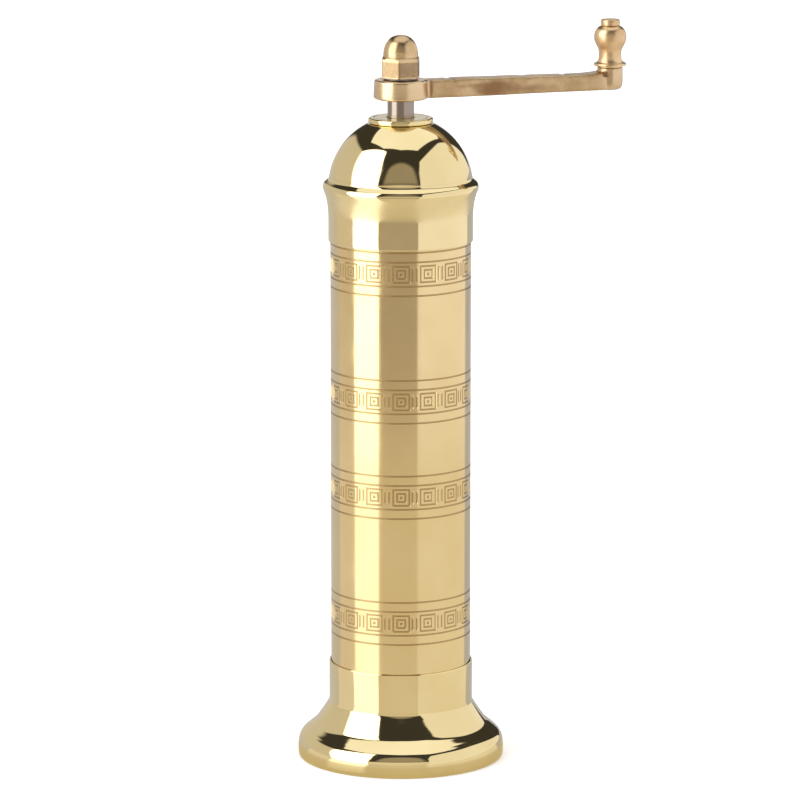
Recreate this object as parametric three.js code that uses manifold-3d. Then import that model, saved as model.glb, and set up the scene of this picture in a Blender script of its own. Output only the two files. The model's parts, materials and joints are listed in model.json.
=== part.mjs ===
// A brass pepper mill with a crank handle.
//
// Frame: millimetres, +Z up. The origin is on the mill's axis, in the plane its foot stands on.
// The crank arm points along +X. Every turned piece shares the mill's axis, except the knob and
// what holds it, which stand on the axis of the boss at the arm's outer end.
//
// From the table up: a flared foot, a straight tube full of peppercorns, a domed cap that slips
// over the tube, a steel shaft through all of them, and a crank held on the shaft by an acorn nut.
// At the bottom a toothed cone on the shaft turns inside a toothed ring, and a thumb screw under
// the shaft lifts the cone against a spring, which makes the grind finer.
import * as THREE from 'three';
import { mergeVertices } from 'three/addons/utils/BufferGeometryUtils.js';
import Module from 'manifold-3d';

const wasm = await Module();
wasm.setup();

// ---------------------------------------------------------------- driving dimensions

// Clearances, on the radius or between two faces.
const runningGap = 0.25;   // a turning shaft in its bore
const slideGap = 0.25;     // the cap's skirt on the tube
const pressGap = 0.2;      // a piece pressed or soldered into its seat
const faceGap = 0.1;       // two faces that rest on each other
const threadGap = 0.2;     // a threaded shank in its hole
const pinGap = 0.15;       // a small screw or pin in its hole
const edgeBreak = 0.4;     // taken off a turned edge

// Body tube.
const tubeRadius = 21.5;
const tubeWall = 1.2;
const tubeLength = 151.2;

// Foot.
const footRadius = 31.75;
const footRimRound = 1.0;
const flareTop = 20.0;
// The flare and the crowned rim under it, from the collar down. Each point is a share of the way
// out from the collar to the rim, and a share of the flare's height.
const flareOutline = [
  [0, 1],
  [0.012, 0.92],
  [0.052, 0.845],
  [0.124, 0.765],
  [0.228, 0.68],
  [0.358, 0.595],
  [0.508, 0.515],
  [0.674, 0.448],
  [0.767, 0.412],
  [0.881, 0.355],
  [0.959, 0.285],
  [0.995, 0.2],
];
const collarWall = 0.4;
const collarHeight = 10.0;
const shelfHeight = 20.2;
const shelfDepth = 3.0;
const shelfWidth = 1.0;
const footBoreInset = 4.1;
const footBoreHeight = 6.0;

// Burrs.
const burrRingHeight = 14.0;
const burrRingTopBore = 12.2;
const burrRingBottomBore = 14.4;
const burrToothDepth = 0.7;
const burrTeeth = 24;
const burrTwist = 0.03;           // radians of helix per millimetre of height
const grindGap = 0.3;             // left between the teeth at the finest setting
const coneGap = 1.0;              // from the bridge up to the cone at the coarsest setting
const coneHeight = 15.4;
const coneGrindHeight = 4.8;      // the part of the cone that lies along the ring's bore
const coneDrawIn = 1.9;
const coneTopRadius = 6.6;
const burrPinRadius = 1.3;
const burrPinHeight = 11.6;       // above the cone's bottom
const burrPinReach = 7.6;

// Adjustment.
const adjustTravel = 1.6;
const adjusterRadius = 9.5;
const adjusterThickness = 5.5;
const adjusterLobes = 12;
const adjusterScallop = 0.5;
const adjusterFloorGap = 1.0;     // the thumb screw stays clear of the table
const adjusterThread = 3.0;
const screwTipDrop = 0.6;         // from the bridge's top down to the thumb screw's tip
const ballRadius = 2.0;
const ballSeatGap = 0.2;
const ballShow = 1.1;             // from the ball's middle to the faces above and below it
const bridgeThickness = 2.0;
const bridgeWidth = 9.0;
const bridgeBossRadius = 5.2;
const bridgeBossClear = 2.4;      // left above the thumb screw's head at the finest setting
const bridgeScrewRadius = 1.05;
const bridgeScrewHead = 2.0;
const bridgeScrewHeadHeight = 1.4;
const bridgeScrewLength = 7.5;
const bridgeScrewSpare = 0.5;     // of the tapped hole past the screw's end

// Shaft and spring.
const shaftRadius = 4.05;
const springWire = 1.0;
const springTurns = 6;
const springLength = 18.8;
const springClear = 1.5;          // from the shaft to the inside of the spring
const springCollarWall = 3.6;
const springCollarHeight = 4.0;
const springWasherThickness = 0.8;
const springWasherWidth = 1.4;    // from the middle of the spring's wire to the washer's edge
const collarScrewRadius = 1.2;
const guideDrop = 21.5;           // from the tube's top edge to the guide strap's underside
const guideThickness = 1.4;
const guideWidth = 9.0;
const guideEar = 8.0;
const guideEyeWall = 3.0;
const guideBushWall = 1.5;
const guideBushFlange = 2.6;
const guideFlangeHeight = 1.3;
const guideBushHeight = 6.4;

// Cap.
const skirtWall = 0.35;
const skirtOverlap = 10.0;
const shoulderDrop = 2.4;         // from the tube's top edge down to the start of the shoulder
const shoulderBulge = 2.3;
const rimRound = 1.9;
const rimDrop = 3.2;              // from the dome's foot down to the middle of the rim
const coveWidth = 0.5;            // between the dome's foot and the middle of the cove under it
const coveDrop = 0.95;
const ledgeHeight = 9.8;          // from the tube's top edge up to the dome's foot
const capWall = 1.3;
const stopThickness = 1.5;        // the shelf inside the cap that rests on the tube's top edge
const domeRise = 0.6;             // the dome's radius less the tube's
const domeSink = 3.5;             // from the dome's foot down to its centre
const bushFlangeRadius = 9.9;
const bushFlangeHeight = 1.7;
const bushFlangeRound = 0.7;
const bushWall = 2.3;
const bushNutHeight = 2.8;
const bushStemPast = 0.6;         // of the stem past its nut

// Crank.
const shaftShow = 5.6;            // shaft seen between the cap and the crank's hub
const hubRadius = 8.4;
const hubTopRadius = 7.9;
const hubHeight = 6.0;
const hubRound = 1.0;
const squareCut = 0.1;            // the square's corners lie this far inside the round shaft
const squareDrop = 0.8;           // from the hub's top down to the square's
const armLength = 68.5;
const armHeight = 4.9;
const armWidth = 6.5;
const armRise = 0.2;              // from the hub's underside up to the arm's
const armRound = 0.9;
const bossRadius = 3.95;
const bossHeight = 6.6;
const studRadius = 2.5;
const washerRadius = 5.2;
const washerThickness = 0.5;
const nutFlats = 11.0;
const nutHexHeight = 6.2;
const nutDomeRadius = 5.35;
const nutDomeHeight = 6.6;
const nutCornerCut = 0.9;
const nutDomeBluntness = 2.7;     // 2 would be an ellipse, and more is fuller
const nutBoreSpare = 0.8;         // of the bore past the stud's end
const nutTurn = 0.61;             // how far round the nut came to rest when it was tightened
const studReach = 8.4;            // how far the stud goes up into the nut

// Knob.
const knobHeight = 12.3;
const knobBulbRadius = 5.0;
const knobBulbHeight = 8.9;
const knobWaistRadius = 3.5;
const knobWaistHeight = 4.3;
const knobFlangeRadius = 5.0;
const knobFlangeHeight = 0.9;
const knobWasherThickness = 0.3;
const knobWasherRadius = 4.0;
const knobPinRadius = 1.9;
const knobPinFloor = 2.0;         // of metal left under the pin's end
const knobButtonRadius = 2.95;
const knobButtonHeight = 1.9;
const knobButtonRound = 0.6;

// Facets round a circle.
const coarse = 20;
const middling = 28;
const fine = 40;

// ---------------------------------------------------------------- places that follow

const tubeBore = tubeRadius - tubeWall;
const tubeTop = shelfHeight + faceGap + tubeLength;
const collarRadius = tubeRadius + pressGap + collarWall;
const collarTop = shelfHeight + collarHeight;
const throatRadius = tubeBore - shelfWidth;

const ringBottom = shelfHeight + faceGap;
const bridgeTop = ringBottom - faceGap;
const bridgeBottom = bridgeTop - bridgeThickness;
const bridgeReach = throatRadius - pressGap;
const bridgeScrewPlace = bridgeReach - bridgeScrewHead;

const adjusterBottom = adjusterFloorGap;
const adjusterTop = adjusterBottom + adjusterThickness;
const bridgeBossBottom = adjusterTop + adjustTravel + bridgeBossClear;
const screwTip = bridgeTop - screwTipDrop;
const ballCentre = screwTip + ballShow;
const shaftEnd = ballCentre + ballShow;
const coneBottom = bridgeTop + coneGap;
const boreRadius = shaftRadius + runningGap;

const ledge = tubeTop + ledgeHeight;
const domeRadius = tubeRadius + domeRise;
const domeCentre = ledge - domeSink;
const domeFlatRadius = bushFlangeRadius + faceGap;
const domeFlat = domeCentre + Math.sqrt(domeRadius ** 2 - domeFlatRadius ** 2);
const bushTop = domeFlat + faceGap + bushFlangeHeight;
const bushStemRadius = boreRadius + bushWall;
const domeInnerRadius = domeRadius - capWall;
const domeFootRadius = Math.sqrt(domeRadius ** 2 - domeSink ** 2);
const domeFootInner = Math.sqrt(domeInnerRadius ** 2 - domeSink ** 2);
const bushNutTop = domeFlat - capWall - faceGap;
const bushNutRadius = Math.sqrt(domeInnerRadius ** 2 - (bushNutTop - domeCentre) ** 2) - faceGap;

const hubBottom = bushTop + shaftShow;
const hubTop = hubBottom + hubHeight;
const armBottom = hubBottom + armRise;
const bossTop = hubBottom + bossHeight;
const squareHalf = (shaftRadius - squareCut) / Math.SQRT2;
const washerBottom = hubTop + faceGap;
const nutBottom = washerBottom + washerThickness + faceGap;
const studTop = nutBottom + studReach;

const knobWasherBottom = bossTop + faceGap;
const knobBottom = knobWasherBottom + knobWasherThickness + faceGap;
const knobTop = knobBottom + knobHeight;

const guideBottom = tubeTop - guideDrop;
const guideFlangeBottom = guideBottom - faceGap - guideFlangeHeight;
const springTop = guideFlangeBottom - faceGap;
const springBottom = springTop - springLength;
const springWasherBottom = springBottom - faceGap - springWasherThickness;
const springCollarBottom = springWasherBottom - faceGap - springCollarHeight;
const springCollarRadius = boreRadius + springCollarWall;
const springRadius = shaftRadius + springClear + springWire / 2;

// ---------------------------------------------------------------- materials

const polishedBrass = new THREE.MeshStandardMaterial({ color: 0xe6cf8e, roughness: 0.08, metalness: 1 });
const satinBrass = new THREE.MeshStandardMaterial({ color: 0xdcc07c, roughness: 0.28, metalness: 1 });
const castBrass = new THREE.MeshStandardMaterial({ color: 0xc79a63, roughness: 0.35, metalness: 1 });
const steel = new THREE.MeshStandardMaterial({ color: 0xa8a49c, roughness: 0.25, metalness: 1 });
const burrSteel = new THREE.MeshStandardMaterial({ color: 0x6f6c68, roughness: 0.45, metalness: 1 });
const bushBronze = new THREE.MeshStandardMaterial({ color: 0xb98a52, roughness: 0.35, metalness: 1 });

// ---------------------------------------------------------------- geometry helpers

// Six times the volume of a closed mesh, negative when its faces point inwards.
function signedVolume(positions, index) {
  const a = new THREE.Vector3();
  const b = new THREE.Vector3();
  const c = new THREE.Vector3();
  let sum = 0;
  for (let i = 0; i < index.length; i += 3) {
    a.fromBufferAttribute(positions, index[i]);
    b.fromBufferAttribute(positions, index[i + 1]);
    c.fromBufferAttribute(positions, index[i + 2]);
    sum += a.dot(b.cross(c));
  }
  return sum;
}

// Joins shared corners, drops the slivers at a lathe's axis and turns every face outwards.
function sealed(geometry) {
  geometry.deleteAttribute('normal');
  geometry.deleteAttribute('uv');
  const merged = mergeVertices(geometry, 1e-4);
  const corners = Array.from(merged.index.array);
  const kept = [];
  for (let i = 0; i < corners.length; i += 3) {
    const [a, b, c] = corners.slice(i, i + 3);
    if (a !== b && b !== c && c !== a) kept.push(a, b, c);
  }
  const inward = signedVolume(merged.attributes.position, kept) < 0;
  if (inward) kept.reverse();
  merged.setIndex(kept);
  return merged;
}

// Spins a profile of [radius, height] points round the Z axis. The profile closes on itself or
// has both its ends on the axis.
function turned(profile, segments) {
  const points = profile.map(([radius, height]) => new THREE.Vector2(radius, height));
  return new THREE.LatheGeometry(points, segments).rotateX(Math.PI / 2);
}

// A ring profile closed on itself, ready for turned().
function closed(profile) {
  return [...profile, profile[0]];
}

function ring(innerRadius, outerRadius, bottom, top) {
  return closed([[innerRadius, bottom], [outerRadius, bottom], [outerRadius, top], [innerRadius, top]]);
}

function rod(radius, bottom, top) {
  return [[0, bottom], [radius, bottom], [radius, top], [0, top]];
}

// Points along part of a circle in the profile plane, angles measured from the outward radius.
function arc(centreRadius, centreHeight, radius, from, to, steps) {
  return Array.from({ length: steps + 1 }, (_, i) => {
    const angle = from + ((to - from) * i) / steps;
    return [centreRadius + radius * Math.cos(angle), centreHeight + radius * Math.sin(angle)];
  });
}

// Points along a smooth curve through the given [radius, height] points.
function smooth(points, steps) {
  const curve = new THREE.SplineCurve(points.map(([radius, height]) => new THREE.Vector2(radius, height)));
  return curve.getPoints(steps).map((point) => [point.x, point.y]);
}

function toSolid(geometry) {
  const tight = sealed(geometry);
  const vertProperties = new Float32Array(tight.attributes.position.array);
  const triVerts = new Uint32Array(tight.index.array);
  return new wasm.Manifold(new wasm.Mesh({ numProp: 3, vertProperties, triVerts }));
}

function fromSolid(solid) {
  const mesh = solid.getMesh();
  const geometry = new THREE.BufferGeometry();
  geometry.setAttribute('position', new THREE.BufferAttribute(new Float32Array(mesh.vertProperties), 3));
  geometry.setIndex(Array.from(mesh.triVerts));
  return geometry;
}

// Joins the first list of shapes into one and cuts the second list out of it.
function fused(added, removed = []) {
  let solid = toSolid(added[0]);
  for (const shape of added.slice(1)) solid = solid.add(toSolid(shape));
  for (const shape of removed) solid = solid.subtract(toSolid(shape));
  return fromSolid(solid);
}

// A cylinder along Y, centred on the mill's axis plane.
function crossRod(radius, from, to, height, segments) {
  const cylinder = new THREE.CylinderGeometry(radius, radius, to - from, segments);
  return cylinder.translate(0, (from + to) / 2, height);
}

const mill = new THREE.Group();

function place(name, geometry, material) {
  const mesh = new THREE.Mesh(geometry, material);
  mesh.name = name;
  mill.add(mesh);
}

function placeTurned(name, profile, material, segments) {
  place(name, sealed(turned(profile, segments)), material);
}

// ---------------------------------------------------------------- body

// The foot: a crowned rim, a flare that sweeps in to the collar, and inside it the shelf that the
// tube and the toothed ring stand on.
function foot() {
  const flareRun = footRadius - collarRadius;
  const flare = flareOutline.map(([out, up]) => [collarRadius + out * flareRun, up * flareTop]);
  const socketRadius = tubeRadius + pressGap;
  const boreRadiusAtFoot = footRadius - footBoreInset;
  const profile = [
    [boreRadiusAtFoot, 0],
    ...arc(footRadius - footRimRound, footRimRound, footRimRound, -Math.PI / 2, 0, 3),
    ...flare.reverse(),
    [collarRadius, collarTop],
    [socketRadius, collarTop],
    [socketRadius, shelfHeight],
    [throatRadius, shelfHeight],
    [throatRadius, shelfHeight - shelfDepth],
    [boreRadiusAtFoot, footBoreHeight],
  ];
  placeTurned('foot', closed(profile), polishedBrass, fine);
}

function bodyTube() {
  placeTurned('body_tube', ring(tubeBore, tubeRadius, shelfHeight + faceGap, tubeTop), satinBrass, fine);
}

// ---------------------------------------------------------------- burrs

// Pulls every second corner of the toothed wall away by the tooth depth and twists the wall
// into a helix. `outward` is 1 for grooves cut outwards in the ring, -1 for inwards in the cone.
function cutTeeth(geometry, isToothed, bottom, outward) {
  const positions = geometry.attributes.position;
  const step = Math.PI / burrTeeth;
  for (let i = 0; i < positions.count; i += 1) {
    const x = positions.getX(i);
    const y = positions.getY(i);
    const height = positions.getZ(i);
    const radius = Math.hypot(x, y);
    if (!isToothed(radius, height)) continue;
    const angle = Math.atan2(y, x);
    const isGroove = Math.abs(Math.round(angle / step)) % 2 === 1;
    const newRadius = radius + (isGroove ? outward * burrToothDepth : 0);
    const newAngle = angle + burrTwist * (height - bottom);
    positions.setXY(i, newRadius * Math.cos(newAngle), newRadius * Math.sin(newAngle));
  }
  return geometry;
}

function ringBoreAt(height) {
  const share = (height - ringBottom) / burrRingHeight;
  return burrRingBottomBore + (burrRingTopBore - burrRingBottomBore) * share;
}

// The toothed ring, whose bore opens downwards, with a tapped hole for each bridge screw.
function burrRing() {
  const top = ringBottom + burrRingHeight;
  const outer = tubeBore - pressGap;
  const bore = [1, 2 / 3, 1 / 3, 0].map((share) => {
    const height = ringBottom + share * burrRingHeight;
    return [ringBoreAt(height), height];
  });
  const profile = closed([[outer, ringBottom], [outer, top], ...bore]);
  const wall = cutTeeth(
    turned(profile, 2 * burrTeeth),
    (radius) => radius < (outer + burrRingBottomBore) / 2,
    ringBottom,
    1,
  );
  const holeDepth = bridgeScrewLength - bridgeThickness + bridgeScrewSpare;
  const holes = [-1, 1].map((side) => turned(
    rod(bridgeScrewRadius + pinGap, ringBottom - 1, ringBottom + holeDepth), coarse / 2,
  ).translate(side * bridgeScrewPlace, 0, 0));
  place('burr_ring', fused([wall], holes), burrSteel);
}

// The toothed cone on the shaft. Its lower third lies along the ring's bore, as far from it as
// the finest setting needs, and the rest draws in to let peppercorns down to the teeth.
function maleBurr() {
  const pinch = grindGap + (burrRingBottomBore - burrRingTopBore) * (adjustTravel / burrRingHeight);
  const bottomRadius = ringBoreAt(coneBottom) - pinch;
  const grindTop = coneBottom + coneGrindHeight;
  const grindTopRadius = ringBoreAt(grindTop) - pinch;
  const top = coneBottom + coneHeight;
  const rise = top - grindTop;
  const shoulder = smooth([
    [grindTopRadius, grindTop],
    [grindTopRadius - coneDrawIn, grindTop + 0.38 * rise],
    [coneTopRadius + coneDrawIn, grindTop + 0.75 * rise],
    [coneTopRadius, top],
  ], 6);
  const foot = [[boreRadius, coneBottom], [bottomRadius, coneBottom]];
  const profile = closed([...foot, ...shoulder, [boreRadius, top]]);
  const cone = cutTeeth(
    turned(profile, 2 * burrTeeth),
    (radius) => radius > (boreRadius + coneTopRadius) / 2,
    coneBottom,
    -1,
  );
  place('male_burr', fused([cone], [burrPinShape(burrPinRadius + pinGap, tubeBore)]), burrSteel);
}

// The pin that fixes the cone on the shaft, or the hole for it.
function burrPinShape(radius, reach) {
  return crossRod(radius, -reach, reach, coneBottom + burrPinHeight, coarse / 2);
}

function burrPin() {
  place('burr_pin', sealed(burrPinShape(burrPinRadius, burrPinReach)), steel);
}

// ---------------------------------------------------------------- adjustment

// A strap under the toothed ring, with a threaded boss hanging from its middle.
function bottomBridge() {
  const halfAngle = Math.asin(bridgeWidth / 2 / bridgeReach);
  const outline = new THREE.Shape();
  outline.absarc(0, 0, bridgeReach, -halfAngle, halfAngle, false);
  outline.absarc(0, 0, bridgeReach, Math.PI - halfAngle, Math.PI + halfAngle, false);
  outline.closePath();
  const strap = new THREE.ExtrudeGeometry(outline, {
    depth: bridgeThickness,
    bevelEnabled: false,
    curveSegments: 4,
  });
  strap.translate(0, 0, bridgeBottom);
  const boss = turned(rod(bridgeBossRadius, bridgeBossBottom, bridgeBottom + bridgeThickness / 4), coarse);
  const thread = turned(rod(adjusterThread + threadGap, 0, bridgeTop + 1), coarse);
  const holes = [-1, 1].map((side) => turned(
    rod(bridgeScrewRadius + pinGap, bridgeBottom - 1, bridgeTop + 1), coarse / 2,
  ).translate(side * bridgeScrewPlace, 0, 0));
  place('bottom_bridge', fused([strap, boss], [thread, ...holes]), bushBronze);
}

function bridgeScrews() {
  const headTop = bridgeBottom - faceGap;
  const profile = [
    [0, headTop - bridgeScrewHeadHeight],
    [bridgeScrewHead - edgeBreak, headTop - bridgeScrewHeadHeight],
    [bridgeScrewHead, headTop - bridgeScrewHeadHeight + edgeBreak],
    [bridgeScrewHead, headTop],
    [bridgeScrewRadius, headTop],
    [bridgeScrewRadius, headTop + bridgeScrewLength],
    [0, headTop + bridgeScrewLength],
  ];
  for (const [name, side] of [['bridge_screw_1', 1], ['bridge_screw_2', -1]]) {
    const shape = sealed(turned(profile, coarse / 2));
    place(name, shape.translate(side * bridgeScrewPlace, 0, 0), steel);
  }
}

// The thumb screw: a scalloped head to turn by hand, and a shank with a cup for the ball.
function adjustingScrew() {
  const outline = new THREE.Shape();
  const points = Array.from({ length: adjusterLobes * 4 }, (_, i) => {
    const angle = (i / (adjusterLobes * 4)) * 2 * Math.PI;
    const radius = adjusterRadius - adjusterScallop * (1 - Math.cos(adjusterLobes * angle)) / 2;
    return new THREE.Vector2(radius * Math.cos(angle), radius * Math.sin(angle));
  });
  outline.setFromPoints(points);
  const head = new THREE.ExtrudeGeometry(outline, { depth: adjusterThickness, bevelEnabled: false });
  head.translate(0, 0, adjusterBottom);
  const shank = turned(rod(adjusterThread, adjusterBottom + 1, screwTip), coarse);
  const cup = new THREE.SphereGeometry(ballRadius + ballSeatGap, 16, 12).rotateX(Math.PI / 2);
  cup.translate(0, 0, ballCentre);
  place('adjusting_screw', fused([head, shank], [cup]), satinBrass);
}

function thrustBall() {
  const ball = new THREE.SphereGeometry(ballRadius, 16, 12).rotateX(Math.PI / 2);
  place('thrust_ball', sealed(ball).translate(0, 0, ballCentre), steel);
}

// ---------------------------------------------------------------- shaft, spring and guide

// A round rod with a cup for the ball at its foot, a square that turns the crank and a threaded
// stud for the nut.
function driveShaft() {
  const round = turned([
    [0, shaftEnd],
    [shaftRadius - edgeBreak, shaftEnd],
    [shaftRadius, shaftEnd + edgeBreak],
    [shaftRadius, hubBottom - faceGap],
    [studRadius, hubBottom - faceGap],
    [studRadius, studTop - edgeBreak],
    [studRadius - edgeBreak, studTop],
    [0, studTop],
  ], middling);
  const squareBottom = hubBottom - faceGap - 1;
  const squareTop = hubTop - squareDrop;
  const square = new THREE.BoxGeometry(2 * squareHalf, 2 * squareHalf, squareTop - squareBottom);
  square.translate(0, 0, (squareBottom + squareTop) / 2);
  const cup = new THREE.SphereGeometry(ballRadius + ballSeatGap, 16, 12).rotateX(Math.PI / 2);
  cup.translate(0, 0, ballCentre);
  const pinHole = burrPinShape(burrPinRadius + pinGap, tubeBore);
  place('drive_shaft', fused([round, square], [cup, pinHole]), steel);
}

function springCollar() {
  const top = springCollarBottom + springCollarHeight;
  const middle = (springCollarBottom + top) / 2;
  const collar = turned(ring(boreRadius, springCollarRadius, springCollarBottom, top), middling);
  const hole = crossRod(collarScrewRadius + pinGap, 0, 2 * springCollarRadius, middle, coarse / 2);
  place('spring_collar', fused([collar], [hole]), satinBrass);
  const screwEnd = springCollarRadius - edgeBreak / 2;
  const screw = crossRod(collarScrewRadius, shaftRadius + faceGap, screwEnd, middle, coarse / 2);
  place('collar_screw', sealed(screw), steel);
}

function springWasher() {
  const top = springWasherBottom + springWasherThickness;
  const profile = ring(boreRadius, springRadius + springWasherWidth, springWasherBottom, top);
  placeTurned('spring_washer', profile, steel, coarse);
}

// The spring that presses the shaft down on the thumb screw: a helix of round wire.
class Helix extends THREE.Curve {
  constructor(radius, bottom, top, turns) {
    super();
    this.radius = radius;
    this.bottom = bottom;
    this.top = top;
    this.turns = turns;
  }

  getPoint(share, target = new THREE.Vector3()) {
    const angle = share * this.turns * 2 * Math.PI;
    const height = this.bottom + share * (this.top - this.bottom);
    return target.set(this.radius * Math.cos(angle), this.radius * Math.sin(angle), height);
  }
}

function pressureSpring() {
  const wire = springWire / 2;
  const path = new Helix(springRadius, springBottom + wire, springTop - wire, springTurns);
  const section = new THREE.Shape();
  section.setFromPoints(Array.from({ length: 6 }, (_, i) => {
    const angle = (i / 6) * 2 * Math.PI;
    return new THREE.Vector2(wire * Math.cos(angle), wire * Math.sin(angle));
  }));
  const coil = new THREE.ExtrudeGeometry(section, { steps: springTurns * 12, extrudePath: path });
  place('pressure_spring', sealed(coil), steel);
}

// A strap across the tube, with an eye in its middle for a bush and its ends bent up and soldered
// to the wall.
function guideBridge() {
  const reach = Math.sqrt((tubeBore - pressGap) ** 2 - (guideWidth / 2) ** 2);
  const strap = new THREE.BoxGeometry(2 * reach, guideWidth, guideThickness);
  strap.translate(0, 0, guideBottom + guideThickness / 2);
  const ears = [-1, 1].map((side) => {
    const ear = new THREE.BoxGeometry(guideThickness, guideWidth, guideEar);
    return ear.translate(side * (reach - guideThickness / 2), 0, guideBottom + guideEar / 2);
  });
  const eyeRadius = boreRadius + guideBushWall + pressGap;
  const eye = turned(rod(eyeRadius + guideEyeWall, guideBottom, guideBottom + guideThickness), middling);
  const hole = turned(rod(eyeRadius, 0, tubeTop), middling);
  place('guide_bridge', fused([strap, eye, ...ears], [hole]), bushBronze);
}

function guideBush() {
  const outer = boreRadius + guideBushWall;
  const flange = outer + guideBushFlange;
  const flangeTop = guideFlangeBottom + guideFlangeHeight;
  const top = guideFlangeBottom + guideBushHeight;
  const profile = [
    [boreRadius, guideFlangeBottom],
    [flange, guideFlangeBottom],
    [flange, flangeTop],
    [outer, flangeTop],
    [outer, top],
    [boreRadius, top],
  ];
  placeTurned('guide_bush', closed(profile), bushBronze, middling);
}

// ---------------------------------------------------------------- cap

// The lower half of the cap: a skirt that slips over the tube, the shoulder above it that swells
// to a rounded rim, and the hollow curve from the rim up to the dome's foot.
function capSkirt() {
  const skirtBore = tubeRadius + slideGap;
  const skirtRadius = skirtBore + skirtWall;
  const skirtBottom = tubeTop - skirtOverlap;
  const shoulderBottom = tubeTop - shoulderDrop;
  const rimRadius = tubeRadius + shoulderBulge;
  const rimMiddle = ledge - rimDrop;
  const shoulderSweep = rimMiddle - shoulderBottom;
  const stop = tubeTop + faceGap;
  const profile = [
    [skirtBore, skirtBottom],
    [skirtRadius, skirtBottom],
    [skirtRadius, shoulderBottom],
    ...smooth([
      [skirtRadius + 0.08 * shoulderBulge, shoulderBottom + 0.3 * shoulderSweep],
      [skirtRadius + 0.3 * shoulderBulge, shoulderBottom + 0.65 * shoulderSweep],
      [rimRadius - 0.05 * shoulderBulge, shoulderBottom + 0.95 * shoulderSweep],
    ], 4),
    ...arc(rimRadius - rimRound, rimMiddle, rimRound, 0, 0.28 * Math.PI, 3),
    [domeFootRadius + coveWidth, ledge - coveDrop],
    [domeFootRadius, ledge],
    [domeFootInner, ledge],
    [domeFootInner, stop + stopThickness],
    [tubeBore, stop],
    [skirtBore, stop],
  ];
  placeTurned('cap_skirt', closed(profile), polishedBrass, fine);
}

// The dome: a spun half ball, cut flat at the top where its bush is clamped.
function capDome() {
  const bottom = ledge + faceGap;
  const hole = bushStemRadius + pressGap;
  const outerFrom = Math.asin((bottom - domeCentre) / domeRadius);
  const outerTo = Math.asin((domeFlat - domeCentre) / domeRadius);
  const innerFrom = Math.asin((bottom - domeCentre) / domeInnerRadius);
  const innerTo = Math.asin((domeFlat - capWall - domeCentre) / domeInnerRadius);
  const profile = [
    ...arc(0, domeCentre, domeRadius, outerFrom, outerTo, 8),
    [hole, domeFlat],
    [hole, domeFlat - capWall],
    ...arc(0, domeCentre, domeInnerRadius, innerTo, innerFrom, 4),
  ];
  placeTurned('cap_dome', closed(profile), polishedBrass, fine);
}

// The bush in the crown that the shaft turns in: a disc on top, and a stem held by a ring nut.
function capBush() {
  const bottom = domeFlat + faceGap;
  const stemBottom = bushNutTop - bushNutHeight - bushStemPast;
  const profile = [
    [boreRadius, stemBottom],
    [bushStemRadius, stemBottom],
    [bushStemRadius, bottom],
    [bushFlangeRadius - bushFlangeRound / 2, bottom],
    [bushFlangeRadius, bottom + bushFlangeRound],
    [bushFlangeRadius, bushTop - bushFlangeRound],
    [bushFlangeRadius - bushFlangeRound, bushTop],
    [boreRadius, bushTop],
  ];
  placeTurned('cap_bush', closed(profile), polishedBrass, middling);
}

function bushNut() {
  const bottom = bushNutTop - bushNutHeight;
  const hexagon = turned(rod(bushNutRadius, bottom, bushNutTop), 6);
  const bore = turned(rod(bushStemRadius + threadGap, bottom - 1, bushNutTop + 1), middling);
  place('bush_nut', fused([hexagon], [bore]), satinBrass);
}

// ---------------------------------------------------------------- crank

// The arm's side view: a cast bar whose upper edge dips gently along its length and climbs a
// little where it runs into the boss.
function armOutline() {
  const from = hubRadius - 3;
  const to = armLength - bossRadius / 2;
  const span = to - from;
  const along = (share) => from + share * span;
  const top = armBottom + armHeight;
  const upper = new THREE.SplineCurve([
    new THREE.Vector2(along(1), top + 0.9),
    new THREE.Vector2(along(0.94), top + 0.3),
    new THREE.Vector2(along(0.84), top - 0.1),
    new THREE.Vector2(along(0.6), top + 0.1),
    new THREE.Vector2(along(0.42), top - 0.05),
    new THREE.Vector2(along(0.22), top + 0.25),
    new THREE.Vector2(along(0), top + 0.3),
  ]);
  const lower = new THREE.SplineCurve([
    new THREE.Vector2(along(0), armBottom + 0.35),
    new THREE.Vector2(along(0.3), armBottom),
    new THREE.Vector2(along(0.65), armBottom + 0.15),
    new THREE.Vector2(along(1), armBottom - 0.1),
  ]);
  const inset = (points, shift) => points.map((point) => new THREE.Vector2(point.x, point.y + shift));
  const outline = new THREE.Shape();
  outline.setFromPoints([
    ...inset(lower.getPoints(8), armRound),
    ...inset(upper.getPoints(14), -armRound),
  ]);
  return outline;
}

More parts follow.
